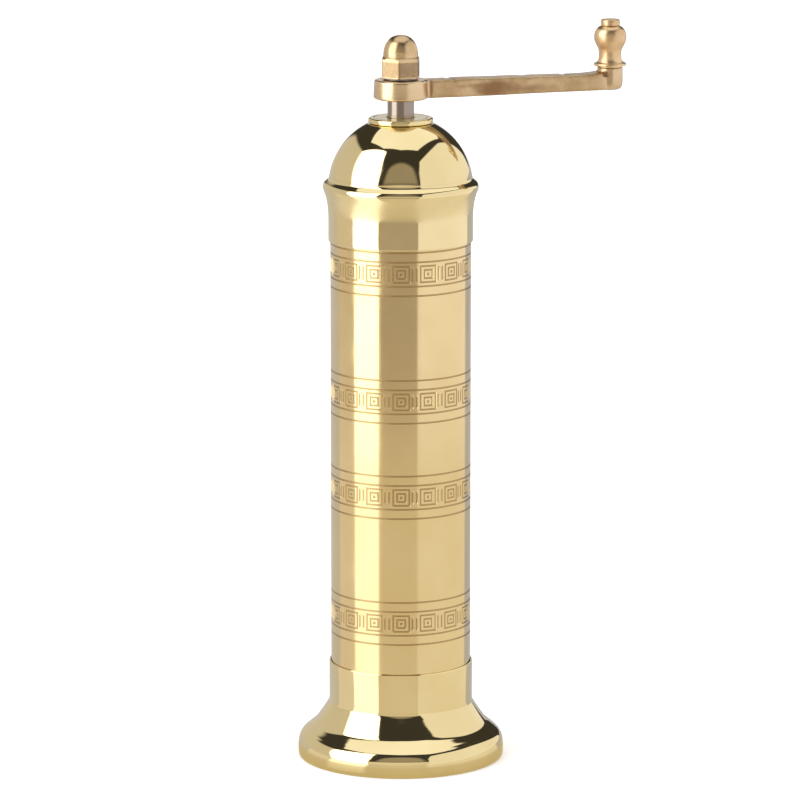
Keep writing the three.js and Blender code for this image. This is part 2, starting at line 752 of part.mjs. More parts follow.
// Hub, bar and boss are one casting, with a square hole for the shaft and a tapped hole for the
// knob's pin.
function crankArm() {
  const hub = turned([
    [0, hubBottom],
    ...arc(hubRadius - hubRound, hubBottom + hubRound, hubRound, -Math.PI / 2, 0, 3),
    [hubTopRadius + edgeBreak, hubTop - edgeBreak],
    [hubTopRadius, hubTop],
    [0, hubTop],
  ], fine);
  const bar = new THREE.ExtrudeGeometry(armOutline(), {
    depth: armWidth - 2 * armRound,
    bevelSize: armRound,
    bevelThickness: armRound,
    bevelSegments: 2,
  });
  bar.rotateX(Math.PI / 2).translate(0, armWidth / 2 - armRound, 0);
  const boss = turned([
    [0, hubBottom],
    ...arc(bossRadius - hubRound, hubBottom + hubRound, hubRound, -Math.PI / 2, 0, 3),
    [bossRadius, bossTop],
    [0, bossTop],
  ], coarse).translate(armLength, 0, 0);
  const holeSide = 2 * (squareHalf + threadGap);
  const squareHole = new THREE.BoxGeometry(holeSide, holeSide, 2 * hubHeight);
  squareHole.translate(0, 0, (hubBottom + hubTop) / 2);
  const holeFloor = hubBottom + knobPinFloor - edgeBreak;
  const pinHole = turned(rod(knobPinRadius + threadGap, holeFloor, bossTop + 1), coarse);
  pinHole.translate(armLength, 0, 0);
  place('crank_arm', fused([hub, bar, boss], [squareHole, pinHole]), castBrass);
}

function crankWasher() {
  const top = washerBottom + washerThickness;
  placeTurned('crank_washer', ring(studRadius + threadGap, washerRadius, washerBottom, top), steel, coarse);
}

// The acorn nut: a hexagon with its corners turned off, and a bullet-shaped dome over it.
function acornNut() {
  const corner = nutFlats / Math.sqrt(3);
  const hexTop = nutBottom + nutHexHeight;
  const hexagon = turned(rod(corner, nutBottom, hexTop), 6);
  const envelope = turned([
    [0, nutBottom],
    [corner - nutCornerCut / 2, nutBottom],
    [corner, nutBottom + nutCornerCut / 2],
    [corner, hexTop - nutCornerCut],
    [corner - 1.4 * nutCornerCut, hexTop],
    [0, hexTop],
  ], middling);
  const steps = 8;
  const bullet = Array.from({ length: steps + 1 }, (_, i) => {
    const angle = (i / steps) * (Math.PI / 2);
    const radius = nutDomeRadius * Math.cos(angle) ** (2 / nutDomeBluntness);
    const rise = nutDomeHeight * Math.sin(angle) ** (2 / nutDomeBluntness);
    return [i === steps ? 0 : radius, hexTop + rise];
  });
  const dome = turned([[0, hexTop - 1], [nutDomeRadius, hexTop - 1], ...bullet], middling);
  const boreTop = nutBottom + studReach + nutBoreSpare;
  const bore = turned(rod(studRadius + threadGap, nutBottom - 1, boreTop), coarse);
  const hexSolid = toSolid(hexagon).intersect(toSolid(envelope));
  const nut = hexSolid.add(toSolid(dome)).subtract(toSolid(bore));
  place('acorn_nut', fromSolid(nut).rotateZ(nutTurn), castBrass);
}

// ---------------------------------------------------------------- knob

function knob() {
  const bore = knobPinRadius + runningGap;
  const outline = smooth([
    [knobWaistRadius + 0.35, knobBottom + knobFlangeHeight + 0.4],
    [knobWaistRadius, knobBottom + knobFlangeHeight + 1.4],
    [knobWaistRadius, knobBottom + knobWaistHeight],
    [knobWaistRadius + 0.25, knobBottom + knobWaistHeight + 1.3],
    [knobBulbRadius - 0.25, knobBottom + knobBulbHeight - 1.6],
    [knobBulbRadius, knobBottom + knobBulbHeight],
    [knobBulbRadius - 0.4, knobBottom + knobBulbHeight + 1.8],
    [knobBulbRadius - 1.4, knobTop - 0.6],
    [knobBulbRadius - 2.2, knobTop],
  ], 12);
  const profile = [
    [bore, knobBottom],
    [knobFlangeRadius - 0.3, knobBottom],
    [knobFlangeRadius, knobBottom + 0.3],
    [knobFlangeRadius, knobBottom + knobFlangeHeight],
    ...outline,
    [bore, knobTop],
  ];
  const shape = sealed(turned(closed(profile), coarse));
  place('knob', shape.translate(armLength, 0, 0), castBrass);
}

// The pin that the knob turns on, screwed into the boss, with a button head above the knob.
function knobPin() {
  const buttonBottom = knobTop + faceGap;
  const profile = [
    [0, hubBottom + knobPinFloor],
    [knobPinRadius, hubBottom + knobPinFloor],
    [knobPinRadius, buttonBottom],
    [knobButtonRadius, buttonBottom],
    [knobButtonRadius, buttonBottom + knobButtonHeight - knobButtonRound],
    [knobButtonRadius - knobButtonRound, buttonBottom + knobButtonHeight],
    [0, buttonBottom + knobButtonHeight],
  ];
  const shape = sealed(turned(profile, coarse));
  place('knob_pin', shape.translate(armLength, 0, 0), castBrass);
}

function knobWasher() {
  const top = knobWasherBottom + knobWasherThickness;
  const profile = ring(knobPinRadius + runningGap, knobWasherRadius, knobWasherBottom, top);
  const shape = sealed(turned(profile, coarse));
  place('knob_washer', shape.translate(armLength, 0, 0), castBrass);
}

// ---------------------------------------------------------------- assembly

foot();
bodyTube();
burrRing();
maleBurr();
burrPin();
bottomBridge();
bridgeScrews();
adjustingScrew();
thrustBall();
driveShaft();
springCollar();
springWasher();
pressureSpring();
guideBridge();
guideBush();
capSkirt();
capDome();
capBush();
bushNut();
crankArm();
crankWasher();
acornNut();
knob();
knobPin();
knobWasher();

export default mill;
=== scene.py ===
# %% [markdown]
# # A brass pepper mill with a crank
#
# The mill stands on a flared foot. A straight tube with four engraved bands holds the peppercorns,
# a domed cap slips over the tube, and a crank with a small turned knob sits on the shaft above it.
#
# The solid model of the mill is already made, with its joints. This lesson gives it its looks: it
# loads that model as a fixed frame, lays a finer surface over each of its pieces, and makes the
# metals. Nearly every surface here is a lathe's work, so most pieces are one outline, spun round.

# %% Loading the frame
import json
import math

import bmesh
import bpy
import numpy as np
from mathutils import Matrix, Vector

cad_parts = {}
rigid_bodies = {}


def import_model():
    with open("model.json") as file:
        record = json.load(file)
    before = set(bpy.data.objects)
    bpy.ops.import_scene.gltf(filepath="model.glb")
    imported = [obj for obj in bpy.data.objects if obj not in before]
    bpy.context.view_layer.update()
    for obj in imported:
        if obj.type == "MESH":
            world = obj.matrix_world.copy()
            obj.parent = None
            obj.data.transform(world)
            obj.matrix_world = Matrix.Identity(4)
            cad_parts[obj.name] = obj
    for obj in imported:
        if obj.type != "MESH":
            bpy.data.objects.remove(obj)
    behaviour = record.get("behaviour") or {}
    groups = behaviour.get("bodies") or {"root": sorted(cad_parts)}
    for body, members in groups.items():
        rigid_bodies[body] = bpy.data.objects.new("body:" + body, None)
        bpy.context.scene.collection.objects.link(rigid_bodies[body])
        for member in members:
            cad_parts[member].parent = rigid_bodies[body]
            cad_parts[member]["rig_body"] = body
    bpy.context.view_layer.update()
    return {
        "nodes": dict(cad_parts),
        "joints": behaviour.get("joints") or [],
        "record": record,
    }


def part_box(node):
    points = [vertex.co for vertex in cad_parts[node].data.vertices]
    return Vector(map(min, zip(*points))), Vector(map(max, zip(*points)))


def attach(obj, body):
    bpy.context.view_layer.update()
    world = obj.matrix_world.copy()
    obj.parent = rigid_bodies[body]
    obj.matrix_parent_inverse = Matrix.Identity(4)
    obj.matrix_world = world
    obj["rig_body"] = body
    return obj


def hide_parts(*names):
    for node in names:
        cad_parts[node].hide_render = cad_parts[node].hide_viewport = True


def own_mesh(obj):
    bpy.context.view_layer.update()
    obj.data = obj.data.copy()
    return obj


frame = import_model()

# %% [markdown]
# Sizes below are in millimetres, as on a workshop drawing, and turn into metres only when a mesh is
# made. `span` reads a piece's place from the frame, so the new surfaces sit where the solids do.

# %% Reading places from the frame
MM = 0.001
SLOT_OF = {part["node"]: part["material_slot"] for part in frame["record"]["subparts"]}


def span(node):
    """The lowest and highest corner of a piece of the frame, in millimetres."""
    low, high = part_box(node)
    return np.array(low) / MM, np.array(high) / MM


def heights(node):
    """The bottom and top of a piece of the frame, in millimetres."""
    low, high = span(node)
    return float(low[2]), float(high[2])


def outer_radius(node):
    """Half the width of a round piece of the frame, in millimetres."""
    low, high = span(node)
    return float(high[1] - low[1]) / 2


print("foot", heights("foot"), "tube", heights("body_tube"), "radius", outer_radius("body_tube"))

# %% [markdown]
# ## Shader sums
#
# A metal's colour and roughness come from sums on noise. Written with nodes, a sum is a long list
# of Math nodes. The small class below wraps one node output, so that `0.1 + 0.3 * spots` builds
# those nodes by itself. Every other node comes from `Tree.node`, which sets its settings first
# and then its sockets.

# %% A socket that can be used in sums
class Value:
    """One output of a shader node. Adding or multiplying it adds a Math node to its tree."""

    def __init__(self, tree, socket):
        self.tree = tree
        self.socket = socket

    def sum(self, operation, first, second):
        return self.tree.node("ShaderNodeMath", {"operation": operation}, {0: first, 1: second})

    def __add__(self, other):
        return self.sum("ADD", self, other)

    def __radd__(self, other):
        return self.sum("ADD", other, self)

    def __sub__(self, other):
        return self.sum("SUBTRACT", self, other)

    def __rsub__(self, other):
        return self.sum("SUBTRACT", other, self)

    def __mul__(self, other):
        return self.sum("MULTIPLY", self, other)

    def __rmul__(self, other):
        return self.sum("MULTIPLY", other, self)

    def __pow__(self, other):
        return self.sum("POWER", self, other)


class Tree:
    """A node tree that is built by calls."""

    def __init__(self, tree):
        self.tree = tree
        tree.nodes.clear()

    def node(self, kind, settings=None, sockets=None, output=0):
        """Adds one node: its settings, then the values or links of its sockets."""
        made = self.tree.nodes.new(kind)
        for name, value in (settings or {}).items():
            setattr(made, name, value)
        for name, value in (sockets or {}).items():
            if isinstance(value, Value):
                self.tree.links.new(value.socket, made.inputs[name])
            else:
                made.inputs[name].default_value = value
        return Value(self, made.outputs[output]) if len(made.outputs) else None

    def step(self, value, low, high):
        """0 below low, 1 above high, and a smooth rise between them."""
        sockets = {"Value": value, "From Min": low, "From Max": high}
        return self.node("ShaderNodeMapRange", {"interpolation_type": "SMOOTHSTEP"}, sockets)

    def mix(self, share, first, second):
        """The first colour where share is 0 and the second where it is 1."""
        return self.node("ShaderNodeMix", {"data_type": "RGBA"}, {0: share, 6: first, 7: second}, 2)

    def noise(self, vector, scale, detail=3.0):
        """Soft noise from 0 to 1, with about `scale` spots to the metre."""
        sockets = {"Vector": vector, "Scale": scale, "Detail": detail}
        return self.node("ShaderNodeTexNoise", {}, sockets)

    def place(self):
        """Where a point lies in the mill, in metres."""
        return self.node("ShaderNodeTexCoord", output="Object")

    def height(self):
        """How high a point lies above the table, in metres."""
        split = self.node("ShaderNodeSeparateXYZ", {}, {"Vector": self.place()})
        return Value(self, split.socket.node.outputs[2])

    def lathe_place(self, axis_x=0.0):
        """(distance from the axis, 0, height): equal all round a turned piece."""
        moved = self.node("ShaderNodeMapping", {}, {"Vector": self.place(), "Location": (-axis_x, 0, 0)})
        split = self.node("ShaderNodeSeparateXYZ", {}, {"Vector": moved})
        x, y, z = (Value(self, split.socket.node.outputs[i]) for i in range(3))
        radius = (x * x + y * y) ** 0.5
        return self.node("ShaderNodeCombineXYZ", {}, {"X": radius, "Z": z})

    def bump(self, height, strength, distance):
        sockets = {"Height": height, "Strength": strength, "Distance": distance}
        return self.node("ShaderNodeBump", {}, sockets)


def colour(red, green, blue):
    return (red, green, blue, 1.0)


print("shader sums are ready")

# %% [markdown]
# ## The metals
#
# All the visible metal is brass, in three states. The foot and the cap are buffed to a mirror. The
# tube is the same brass with a softer polish, under lacquer. The crank, its nut and the knob are
# castings of a redder alloy that were only lightly buffed, so they look satin and a little stained.
#
# A metal with nothing but one colour and one roughness looks like plastic film. Each one here has
# three things more: slow clouds in its colour, smudges in its roughness, and the fine rings that
# a lathe leaves, as bump. The rings are noise on distance from the axis and height only, so they
# run all the way round.

# %% Polished brass
SATIN_BEGINS = (0.1695, 0.1715)
SATIN_ENDS = (0.1765, 0.1780)


def metal(name, sockets, base, rough, normal=None):
    """A metal finish: constants on the shader's own sockets, and the values that vary linked."""
    material = bpy.data.materials.new(name)
    material.use_nodes = True
    tree = Tree(material.node_tree)
    linked = {"Metallic": 1.0, **sockets, "Base Color": base(tree), "Roughness": rough(tree)}
    if normal is not None:
        linked["Normal"] = normal(tree)
    shader = tree.node("ShaderNodeBsdfPrincipled", {}, linked)
    tree.node("ShaderNodeOutputMaterial", {}, {"Surface": shader})
    print("finish", name, "has", len(material.node_tree.nodes), "nodes")
    return material


def polished_brass(name, axis_x=0.0):
    """Mirror brass: faint clouds, fingered smudges, and turning rings so fine that they only soften."""

    def base(tree):
        clouds = tree.noise(tree.place(), 55.0, 4.0)
        return tree.mix(tree.step(clouds, 0.3, 0.7), colour(0.93, 0.79, 0.45), colour(0.88, 0.73, 0.40))

    def rough(tree):
        smudges = tree.noise(tree.place(), 140.0, 6.0)
        rings = tree.noise(tree.lathe_place(axis_x), 2500.0, 2.0)
        height = tree.height()
        satin = tree.step(height, *SATIN_BEGINS) * (1 - tree.step(height, *SATIN_ENDS))
        return 0.035 + 0.06 * tree.step(smudges, 0.5, 0.75) + 0.03 * rings + 0.2 * satin

    def normal(tree):
        rings = tree.noise(tree.lathe_place(axis_x), 900.0, 3.0)
        return tree.bump(rings, 0.05, 0.00004)

    return metal(name, {}, base, rough, normal)


POLISHED = polished_brass("brass_polished")

# %% [markdown]
# ### Lacquered brass with engraving
#
# The tube's surface carries a number at each corner of its mesh, `cut`, which is 1 at the bottom of
# an engraved line and 0 between the lines. The finish reads it: old polish and dirt stay in the
# lines, so they are darker and duller than the metal round them.

# %% Lacquered brass
def lacquered_brass(name):
    """Satin brass under a clear coat, stained in its engraved lines."""

    def cut(tree):
        return tree.node("ShaderNodeAttribute", {"attribute_name": "cut"}, output="Fac")

    def base(tree):
        clouds = tree.noise(tree.place(), 40.0, 5.0)
        clean = tree.mix(tree.step(clouds, 0.3, 0.7), colour(0.89, 0.725, 0.40), colour(0.84, 0.665, 0.345))
        return tree.mix(0.85 * cut(tree), clean, colour(0.46, 0.32, 0.15))

    def rough(tree):
        smudges = tree.noise(tree.place(), 90.0, 6.0)
        rings = tree.noise(tree.lathe_place(), 1800.0, 2.0)
        return 0.10 + 0.07 * tree.step(smudges, 0.45, 0.8) + 0.05 * rings + 0.22 * cut(tree)

    def normal(tree):
        rings = tree.noise(tree.lathe_place(), 700.0, 4.0)
        return tree.bump(rings, 0.10, 0.00006)

    coat = {"Coat Weight": 0.25, "Coat Roughness": 0.06, "Coat IOR": 1.5}
    return metal(name, coat, base, rough, normal)


LACQUERED = lacquered_brass("brass_lacquered")

# %% [markdown]
# ### Cast brass
#
# The casting's skin is uneven at two scales: shallow swells as wide as a fingertip, which are in its
# mesh, and a sandy grain that is too fine for a mesh and is bump here. Its stains are brown and
# gather in hollows, and in the creases where its parts meet the same brown is painted shade. The
# mesh carries stains and painted shade as one number at each corner, and noise breaks their edges up.

# %% Cast brass
def cast_brass(name, clean_shades, axis_x=0.0, dull=0.0):
    """Redder brass, lightly buffed, with stains, painted shade in its creases, and a sandy grain.

    `clean_shades` are its lightest and darkest unstained colours, and where the mesh carries
    `rubbed`, the colour of the parts that hands rub bright. `dull` adds to its roughness.
    """

    # Stains, and painted shade in creases, read from the mesh with ragged edges.
    def stain_and_shade(tree):
        marked = tree.node("ShaderNodeAttribute", {"attribute_name": "stain_and_shade"}, output="Fac")
        ragged = tree.noise(tree.place(), 260.0, 6.0)
        return tree.step(marked + 0.9 * ragged, 0.62, 1.25)

    def base(tree):
        clouds = tree.noise(tree.place(), 160.0, 5.0)
        clean = tree.mix(tree.step(clouds, 0.35, 0.7), *clean_shades[:2])
        if len(clean_shades) > 2:
            rubbed = tree.node("ShaderNodeAttribute", {"attribute_name": "rubbed"}, output="Fac")
            clean = tree.mix(rubbed, clean, clean_shades[2])
        return tree.mix(stain_and_shade(tree), clean, colour(0.34, 0.20, 0.10))

    def rough(tree):
        worn = tree.noise(tree.place(), 220.0, 5.0)
        return 0.16 + dull + 0.14 * worn + 0.22 * stain_and_shade(tree)

    def normal(tree):
        grain = tree.noise(tree.place(), 1300.0, 4.0)
        brushed = tree.noise(tree.lathe_place(axis_x), 900.0, 3.0)
        return tree.bump(grain + 0.6 * brushed, 0.16, 0.00007)

    return metal(name, {}, base, rough, normal)


CAST_SHADES = [colour(0.63, 0.46, 0.265), colour(0.48, 0.33, 0.17), colour(0.84, 0.65, 0.42)]
NUT_SHADES = [colour(0.78, 0.58, 0.34), colour(0.64, 0.46, 0.26)]
KNOB_SHADES = [colour(0.88, 0.66, 0.40), colour(0.76, 0.54, 0.31)]
CAST = cast_brass("brass_cast", CAST_SHADES, dull=0.03)
CAST_NUT = cast_brass("brass_cast_nut", NUT_SHADES, dull=0.05)
KNOB_AXIS = (span("knob")[0][0] + outer_radius("knob")) * MM
CAST_KNOB = cast_brass("brass_cast_knob", KNOB_SHADES, KNOB_AXIS, dull=0.10)

# %% [markdown]
# ### Steel and bronze
#
# The shaft and the small fixings are turned steel. The burrs are hardened steel, dark from the
# furnace and bright on the tips of their teeth. The two bridges and the guide bush are bronze.

# %% Steel and bronze
def turned_steel(name):
    """Bright turned steel with visible lathe rings."""

    def base(tree):
        clouds = tree.noise(tree.place(), 300.0, 4.0)
        return tree.mix(clouds, colour(0.42, 0.365, 0.31), colour(0.33, 0.28, 0.235))

    def rough(tree):
        return 0.12 + 0.16 * tree.noise(tree.lathe_place(), 3000.0, 3.0)

    def normal(tree):
        return tree.bump(tree.noise(tree.lathe_place(), 2200.0, 3.0), 0.12, 0.00005)

    return metal(name, {}, base, rough, normal)


def hardened_steel(name):
    """Dark steel, with a bluish and brown skin in patches and a dull grain."""

    def base(tree):
        skin = tree.step(tree.noise(tree.place(), 420.0, 6.0), 0.35, 0.65)
        return tree.mix(skin, colour(0.24, 0.23, 0.235), colour(0.36, 0.33, 0.30))

    def rough(tree):
        return 0.34 + 0.22 * tree.noise(tree.place(), 900.0, 5.0)

    def normal(tree):
        return tree.bump(tree.noise(tree.place(), 2400.0, 4.0), 0.25, 0.00006)

    return metal(name, {}, base, rough, normal)


def machined_bronze(name):
    """Brown-red bronze with dull, dusty patches."""

    def base(tree):
        dust = tree.step(tree.noise(tree.place(), 200.0, 6.0), 0.4, 0.75)
        return tree.mix(dust, colour(0.68, 0.44, 0.24), colour(0.50, 0.34, 0.21))

    def rough(tree):
        return 0.25 + 0.25 * tree.noise(tree.place(), 350.0, 5.0)

    def normal(tree):
        return tree.bump(tree.noise(tree.place(), 1600.0, 4.0), 0.18, 0.00006)

    return metal(name, {}, base, rough, normal)


STEEL = turned_steel("steel_turned")
BURR_STEEL = hardened_steel("steel_hardened")
BRONZE = machined_bronze("bronze_machined")
FINISH_OF = {
    "polished_brass": POLISHED,
    "satin_brass": LACQUERED,
    "cast_brass": CAST,
    "bush_bronze": BRONZE,
    "steel": STEEL,
    "burr_steel": BURR_STEEL,
}

# %% [markdown]
# ## From an outline to a surface
#
# A turned piece is a surface of two parameters: how far along the outline, and how far round the
# axis. With numpy both are whole arrays, and the grid of points comes out of one multiplication.
# Blender's own Spin or Screw would work too, but then the radius could not change round the axis,
# as it has to for hexagons, teeth and threads.

# %% Outlines
def rounded(outline, radius, steps=4, closed=True):
    """Corner p becomes the curve (1-s)^2 a + 2 s (1-s) p + s^2 b for s from 0 to 1.

    The points a and b lie on the two sides that meet at p, `radius` away from it, or less than half
    a side away where a side is short. `radius` is one number or one for each corner.
    """
    p = np.array(outline, float)
    reach = np.broadcast_to(np.asarray(radius, float), len(p)).copy()
    if not closed:
        reach[[0, -1]] = 0
    to_last = np.roll(p, 1, 0) - p
    to_next = np.roll(p, -1, 0) - p
    last_length = np.linalg.norm(to_last, axis=1) + 1e-9
    next_length = np.linalg.norm(to_next, axis=1) + 1e-9
    a = p + to_last * (np.minimum(reach, 0.48 * last_length) / last_length)[:, None]
    b = p + to_next * (np.minimum(reach, 0.48 * next_length) / next_length)[:, None]
    s = np.linspace(0, 1, steps)[None, :, None]
    curve = (1 - s) ** 2 * a[:, None] + 2 * s * (1 - s) * p[:, None] + s**2 * b[:, None]
    return curve.reshape(-1, 2)


def arc(centre, radius, start, end, steps):
    """Centre + radius * (cos t, sin t) for angles t from start to end, in degrees."""
    t = np.radians(np.linspace(start, end, steps))
    return np.stack([centre[0] + radius * np.cos(t), centre[1] + radius * np.sin(t)], 1)


def flowing(points, steps=8):
    """A curve through all the points: between two of them it is the cubic whose slope at each point
    is half the step from the point before it to the point after it."""
    p = np.array(points, float)
    padded = np.concatenate([2 * p[:1] - p[1:2], p, 2 * p[-1:] - p[-2:-1]])
    slope = (padded[2:] - padded[:-2]) / 2
    s = np.linspace(0, 1, steps, endpoint=False)[None, :, None]
    p0, p1, m0, m1 = p[:-1, None], p[1:, None], slope[:-1, None], slope[1:, None]
    ends = (2 * s**3 - 3 * s**2 + 1) * p0 + (3 * s**2 - 2 * s**3) * p1
    slopes = (s**3 - 2 * s**2 + s) * m0 + (s**3 - s**2) * m1
    return np.concatenate([(ends + slopes).reshape(-1, p.shape[1]), p[-1:]])


def joined(*parts):
    """Several lists of points as one array."""
    return np.concatenate([np.array(part, float).reshape(-1, 2) for part in parts])


# %% Surfaces
def around(columns):
    """Evenly spaced angles for a full turn, in radians."""
    return np.linspace(0, 2 * np.pi, columns, endpoint=False)


def turned(profile, columns=160, centre_x=0.0):
    """Outline point (r, z) goes to (centre_x + r cos a, r sin a, z) for each angle a of a turn."""
    a = around(columns)
    r, z = np.array(profile)[:, 0, None], np.array(profile)[:, 1, None]
    return np.stack([centre_x + r * np.cos(a), r * np.sin(a), z + 0 * a], -1)


def shaped(radius, height, angle, centre_x=0.0):
    """As turned(), with a radius and a height of their own at every place of the grid."""
    return np.stack([centre_x + radius * np.cos(angle), radius * np.sin(angle), height + 0 * angle], -1)


def mesh_of(name, grid, loop, attribute=None):
    """A mesh from a grid of points in millimetres.

    Its columns always meet, and with `loop` its last row meets the first. Points that fall
    together, as on an axis, become one, and the faces are turned to look outwards.
    """
    rows, columns = grid.shape[:2]
    i, j = np.meshgrid(np.arange(rows if loop else rows - 1), np.arange(columns), indexing="ij")
    down, right = (i + 1) % rows, (j + 1) % columns
    corners = [i * columns + j, i * columns + right, down * columns + right, down * columns + j]
    quads = np.stack(corners, -1).reshape(-1, 4)
    mesh = bpy.data.meshes.new(name)
    mesh.from_pydata((grid.reshape(-1, 3) * MM).tolist(), [], quads.tolist())
    if attribute is not None:
        layer = mesh.attributes.new(attribute[0], "FLOAT", "POINT")
        layer.data.foreach_set("value", attribute[1].astype(np.float32).ravel())
    mended = bmesh.new()
    mended.from_mesh(mesh)
    bmesh.ops.remove_doubles(mended, verts=mended.verts, dist=1e-7)
    bmesh.ops.dissolve_degenerate(mended, edges=mended.edges, dist=1e-8)
    bmesh.ops.recalc_face_normals(mended, faces=mended.faces)
    mended.to_mesh(mesh)
    mended.free()
    return mesh


def finished(name, mesh, node, material=None, sharp=32.0):
    """Puts a mesh in the scene in place of a piece of the frame, smooth but for its sharp edges."""
    mesh.shade_smooth()
    mesh.set_sharp_from_angle(angle=math.radians(sharp))
    mesh.materials.clear()
    mesh.materials.append(material or FINISH_OF[SLOT_OF[node]])
    piece = bpy.data.objects.new(name, mesh)
    bpy.context.scene.collection.objects.link(piece)
    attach(piece, frame["nodes"][node]["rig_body"])
    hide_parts(node)
    print(f"{name}: {len(mesh.polygons)} faces, for {node}")
    return piece


def lathe(name, node, profile, loop=True, columns=160, centre_x=0.0, material=None):
    """A turned piece from its outline. `loop` says that the outline closes on itself."""
    mesh = mesh_of(name, turned(profile, columns, centre_x), loop)
    return finished(name, mesh, node, material)


print("outlines and surfaces are ready")

# %% [markdown]
# ## The foot
#
# The foot is spun from thick brass. Its rim is a low wall with a crown, so its upper part looks a
# little upwards and mirrors the dark room while the lower part mirrors the table. Above it the
# flare sweeps in, nearly flat at first and upright at the collar. What a mirror shows at a spot
# depends on the slope there and nothing else, so the outline is given as a smooth curve through
# points, and not as one arc. Inside are the shelf that the tube stands on and the hollow that the
# thumb screw sits in.

# %% The foot
foot_bottom, collar_top = heights("foot")
foot_radius = outer_radius("foot")
tube_radius = outer_radius("body_tube")
tube_bottom, tube_top = heights("body_tube")
collar_radius = tube_radius + 0.6
flare_top = 20.0
FLARE = (
    (0, 1), (0, 0.92), (0.010, 0.87), (0.030, 0.845), (0.087, 0.80), (0.152, 0.75), (0.219, 0.70),
    (0.289, 0.65), (0.362, 0.60), (0.438, 0.55), (0.493, 0.52), (0.564, 0.49), (0.661, 0.45), (0.755, 0.412), (0.881, 0.355),
    (0.959, 0.285), (0.995, 0.2), (1, 0.125), (1, 0.06),
)


def foot():
    run = foot_radius - collar_radius
    points = [(collar_radius + out * run, up * flare_top) for out, up in FLARE]
    flare = flowing([(collar_radius, flare_top + 4)] + points, 9)
    flare[:, 0] = np.minimum(flare[:, 0], foot_radius)
    rim_edge = rounded([(foot_radius - 4.1, foot_bottom), (foot_radius - 0.2, foot_bottom),
                        (foot_radius, 1.2)], [0, 1.0, 0], 8, closed=False)
    collar = rounded([(collar_radius, flare_top + 5), (collar_radius, collar_top),
                      (tube_radius + 0.12, collar_top), (tube_radius + 0.12, tube_bottom - 0.1)],
                     [0, 0.3, 0.1, 0], closed=False)
    hollow = rounded([(tube_radius - 2.2, tube_bottom - 0.1), (tube_radius - 2.2, tube_bottom - 3.1),
                      (foot_radius - 4.1, 6.0), (foot_radius - 4.1, foot_bottom + 0.2)], 0.5, closed=False)
    profile = joined(rim_edge, flare[::-1], collar, hollow)
    return lathe("foot_spun", "foot", profile, columns=256)


foot()

# %% [markdown]
# ## The engraved tube
#
# Four bands go round the tube. Each is two pairs of thin rings with a frieze between them: small
# squares, one inside another with a dot in the middle, and upright bars between the squares.
#
# Bump could fake such lines, but they would vanish at the tube's edges and in raking light. Here
# they are cut into the mesh. The trick is to lay the grid where the cuts are: every line of the
# pattern has a column or row of points at the top and at the bottom of each of its two walls, and
# the plain metal between has hardly any. The cut's depth is then worked out for the whole grid.

# %% The pattern of a band
BAND_HEIGHTS = (154.4, 115.2, 85.6, 46.2)
RING_LINES = (-6.6, -3.7, 3.7, 6.6)
REPEATS = 16
BAND_TURN = math.radians(3.0)
LINE_HALF = 0.17
LINE_WALL = 0.1
LINE_DEPTH = 0.13
SQUARE_HALF = 2.45
INNER_HALF = 1.25
DOT_HALF = 0.3
BAR_PLACES = (3.42, 4.75)
BAR_HALF_HEIGHT = 2.1
repeat_width = 2 * np.pi * tube_radius / REPEATS


def line(distance, half=LINE_HALF):
    """1 within `half` of the line and 0 past its wall, falling straight between."""
    return np.clip((half + LINE_WALL - np.abs(distance)) / LINE_WALL, 0, 1)


def square(x, z, half):
    """A square's outline: the line along which the larger of |x| and |z| is `half`."""
    return line(np.maximum(np.abs(x), np.abs(z)) - half)


def bar(x, z, centre):
    """An upright stroke as high as the frieze."""
    return line(x - centre) * (np.abs(z) <= BAR_HALF_HEIGHT)


def frieze(along, z):
    """How deep the frieze is cut, from 0 to 1, at a distance along the band and above its middle."""
    x = (along + SQUARE_HALF + 1) % repeat_width - SQUARE_HALF - 1
    dot = line(np.maximum(np.abs(x), np.abs(z)), DOT_HALF)
    squares = np.maximum(square(x, z, SQUARE_HALF), square(x, z, INNER_HALF))
    bars = np.maximum(bar(x, z, BAR_PLACES[0]), bar(x, z, BAR_PLACES[1]))
    return np.maximum(np.maximum(squares, dot), bars)


def wall_places(centres, half=LINE_HALF):
    """Where a grid needs points for lines at these places: both ends of both walls."""
    steps = np.array([-half - LINE_WALL, -half, half, half + LINE_WALL])
    return (np.array(centres)[:, None] + steps).ravel()


sides = [-SQUARE_HALF, -INNER_HALF, INNER_HALF, SQUARE_HALF]
across = np.concatenate([wall_places(sides + list(BAR_PLACES)), wall_places([0.0], DOT_HALF)])
columns_along = (np.sort(across)[None, :] + repeat_width * np.arange(REPEATS)[:, None]).ravel()
up = np.concatenate([wall_places(sides), wall_places([0.0], DOT_HALF),
                     wall_places(RING_LINES), [-BAR_HALF_HEIGHT - 0.01, BAR_HALF_HEIGHT + 0.01]])
rows_up = (np.array(BAND_HEIGHTS)[:, None] + np.sort(up)[None, :]).ravel()
print("the band repeats every", round(repeat_width, 2), "mm;", len(columns_along), "columns")


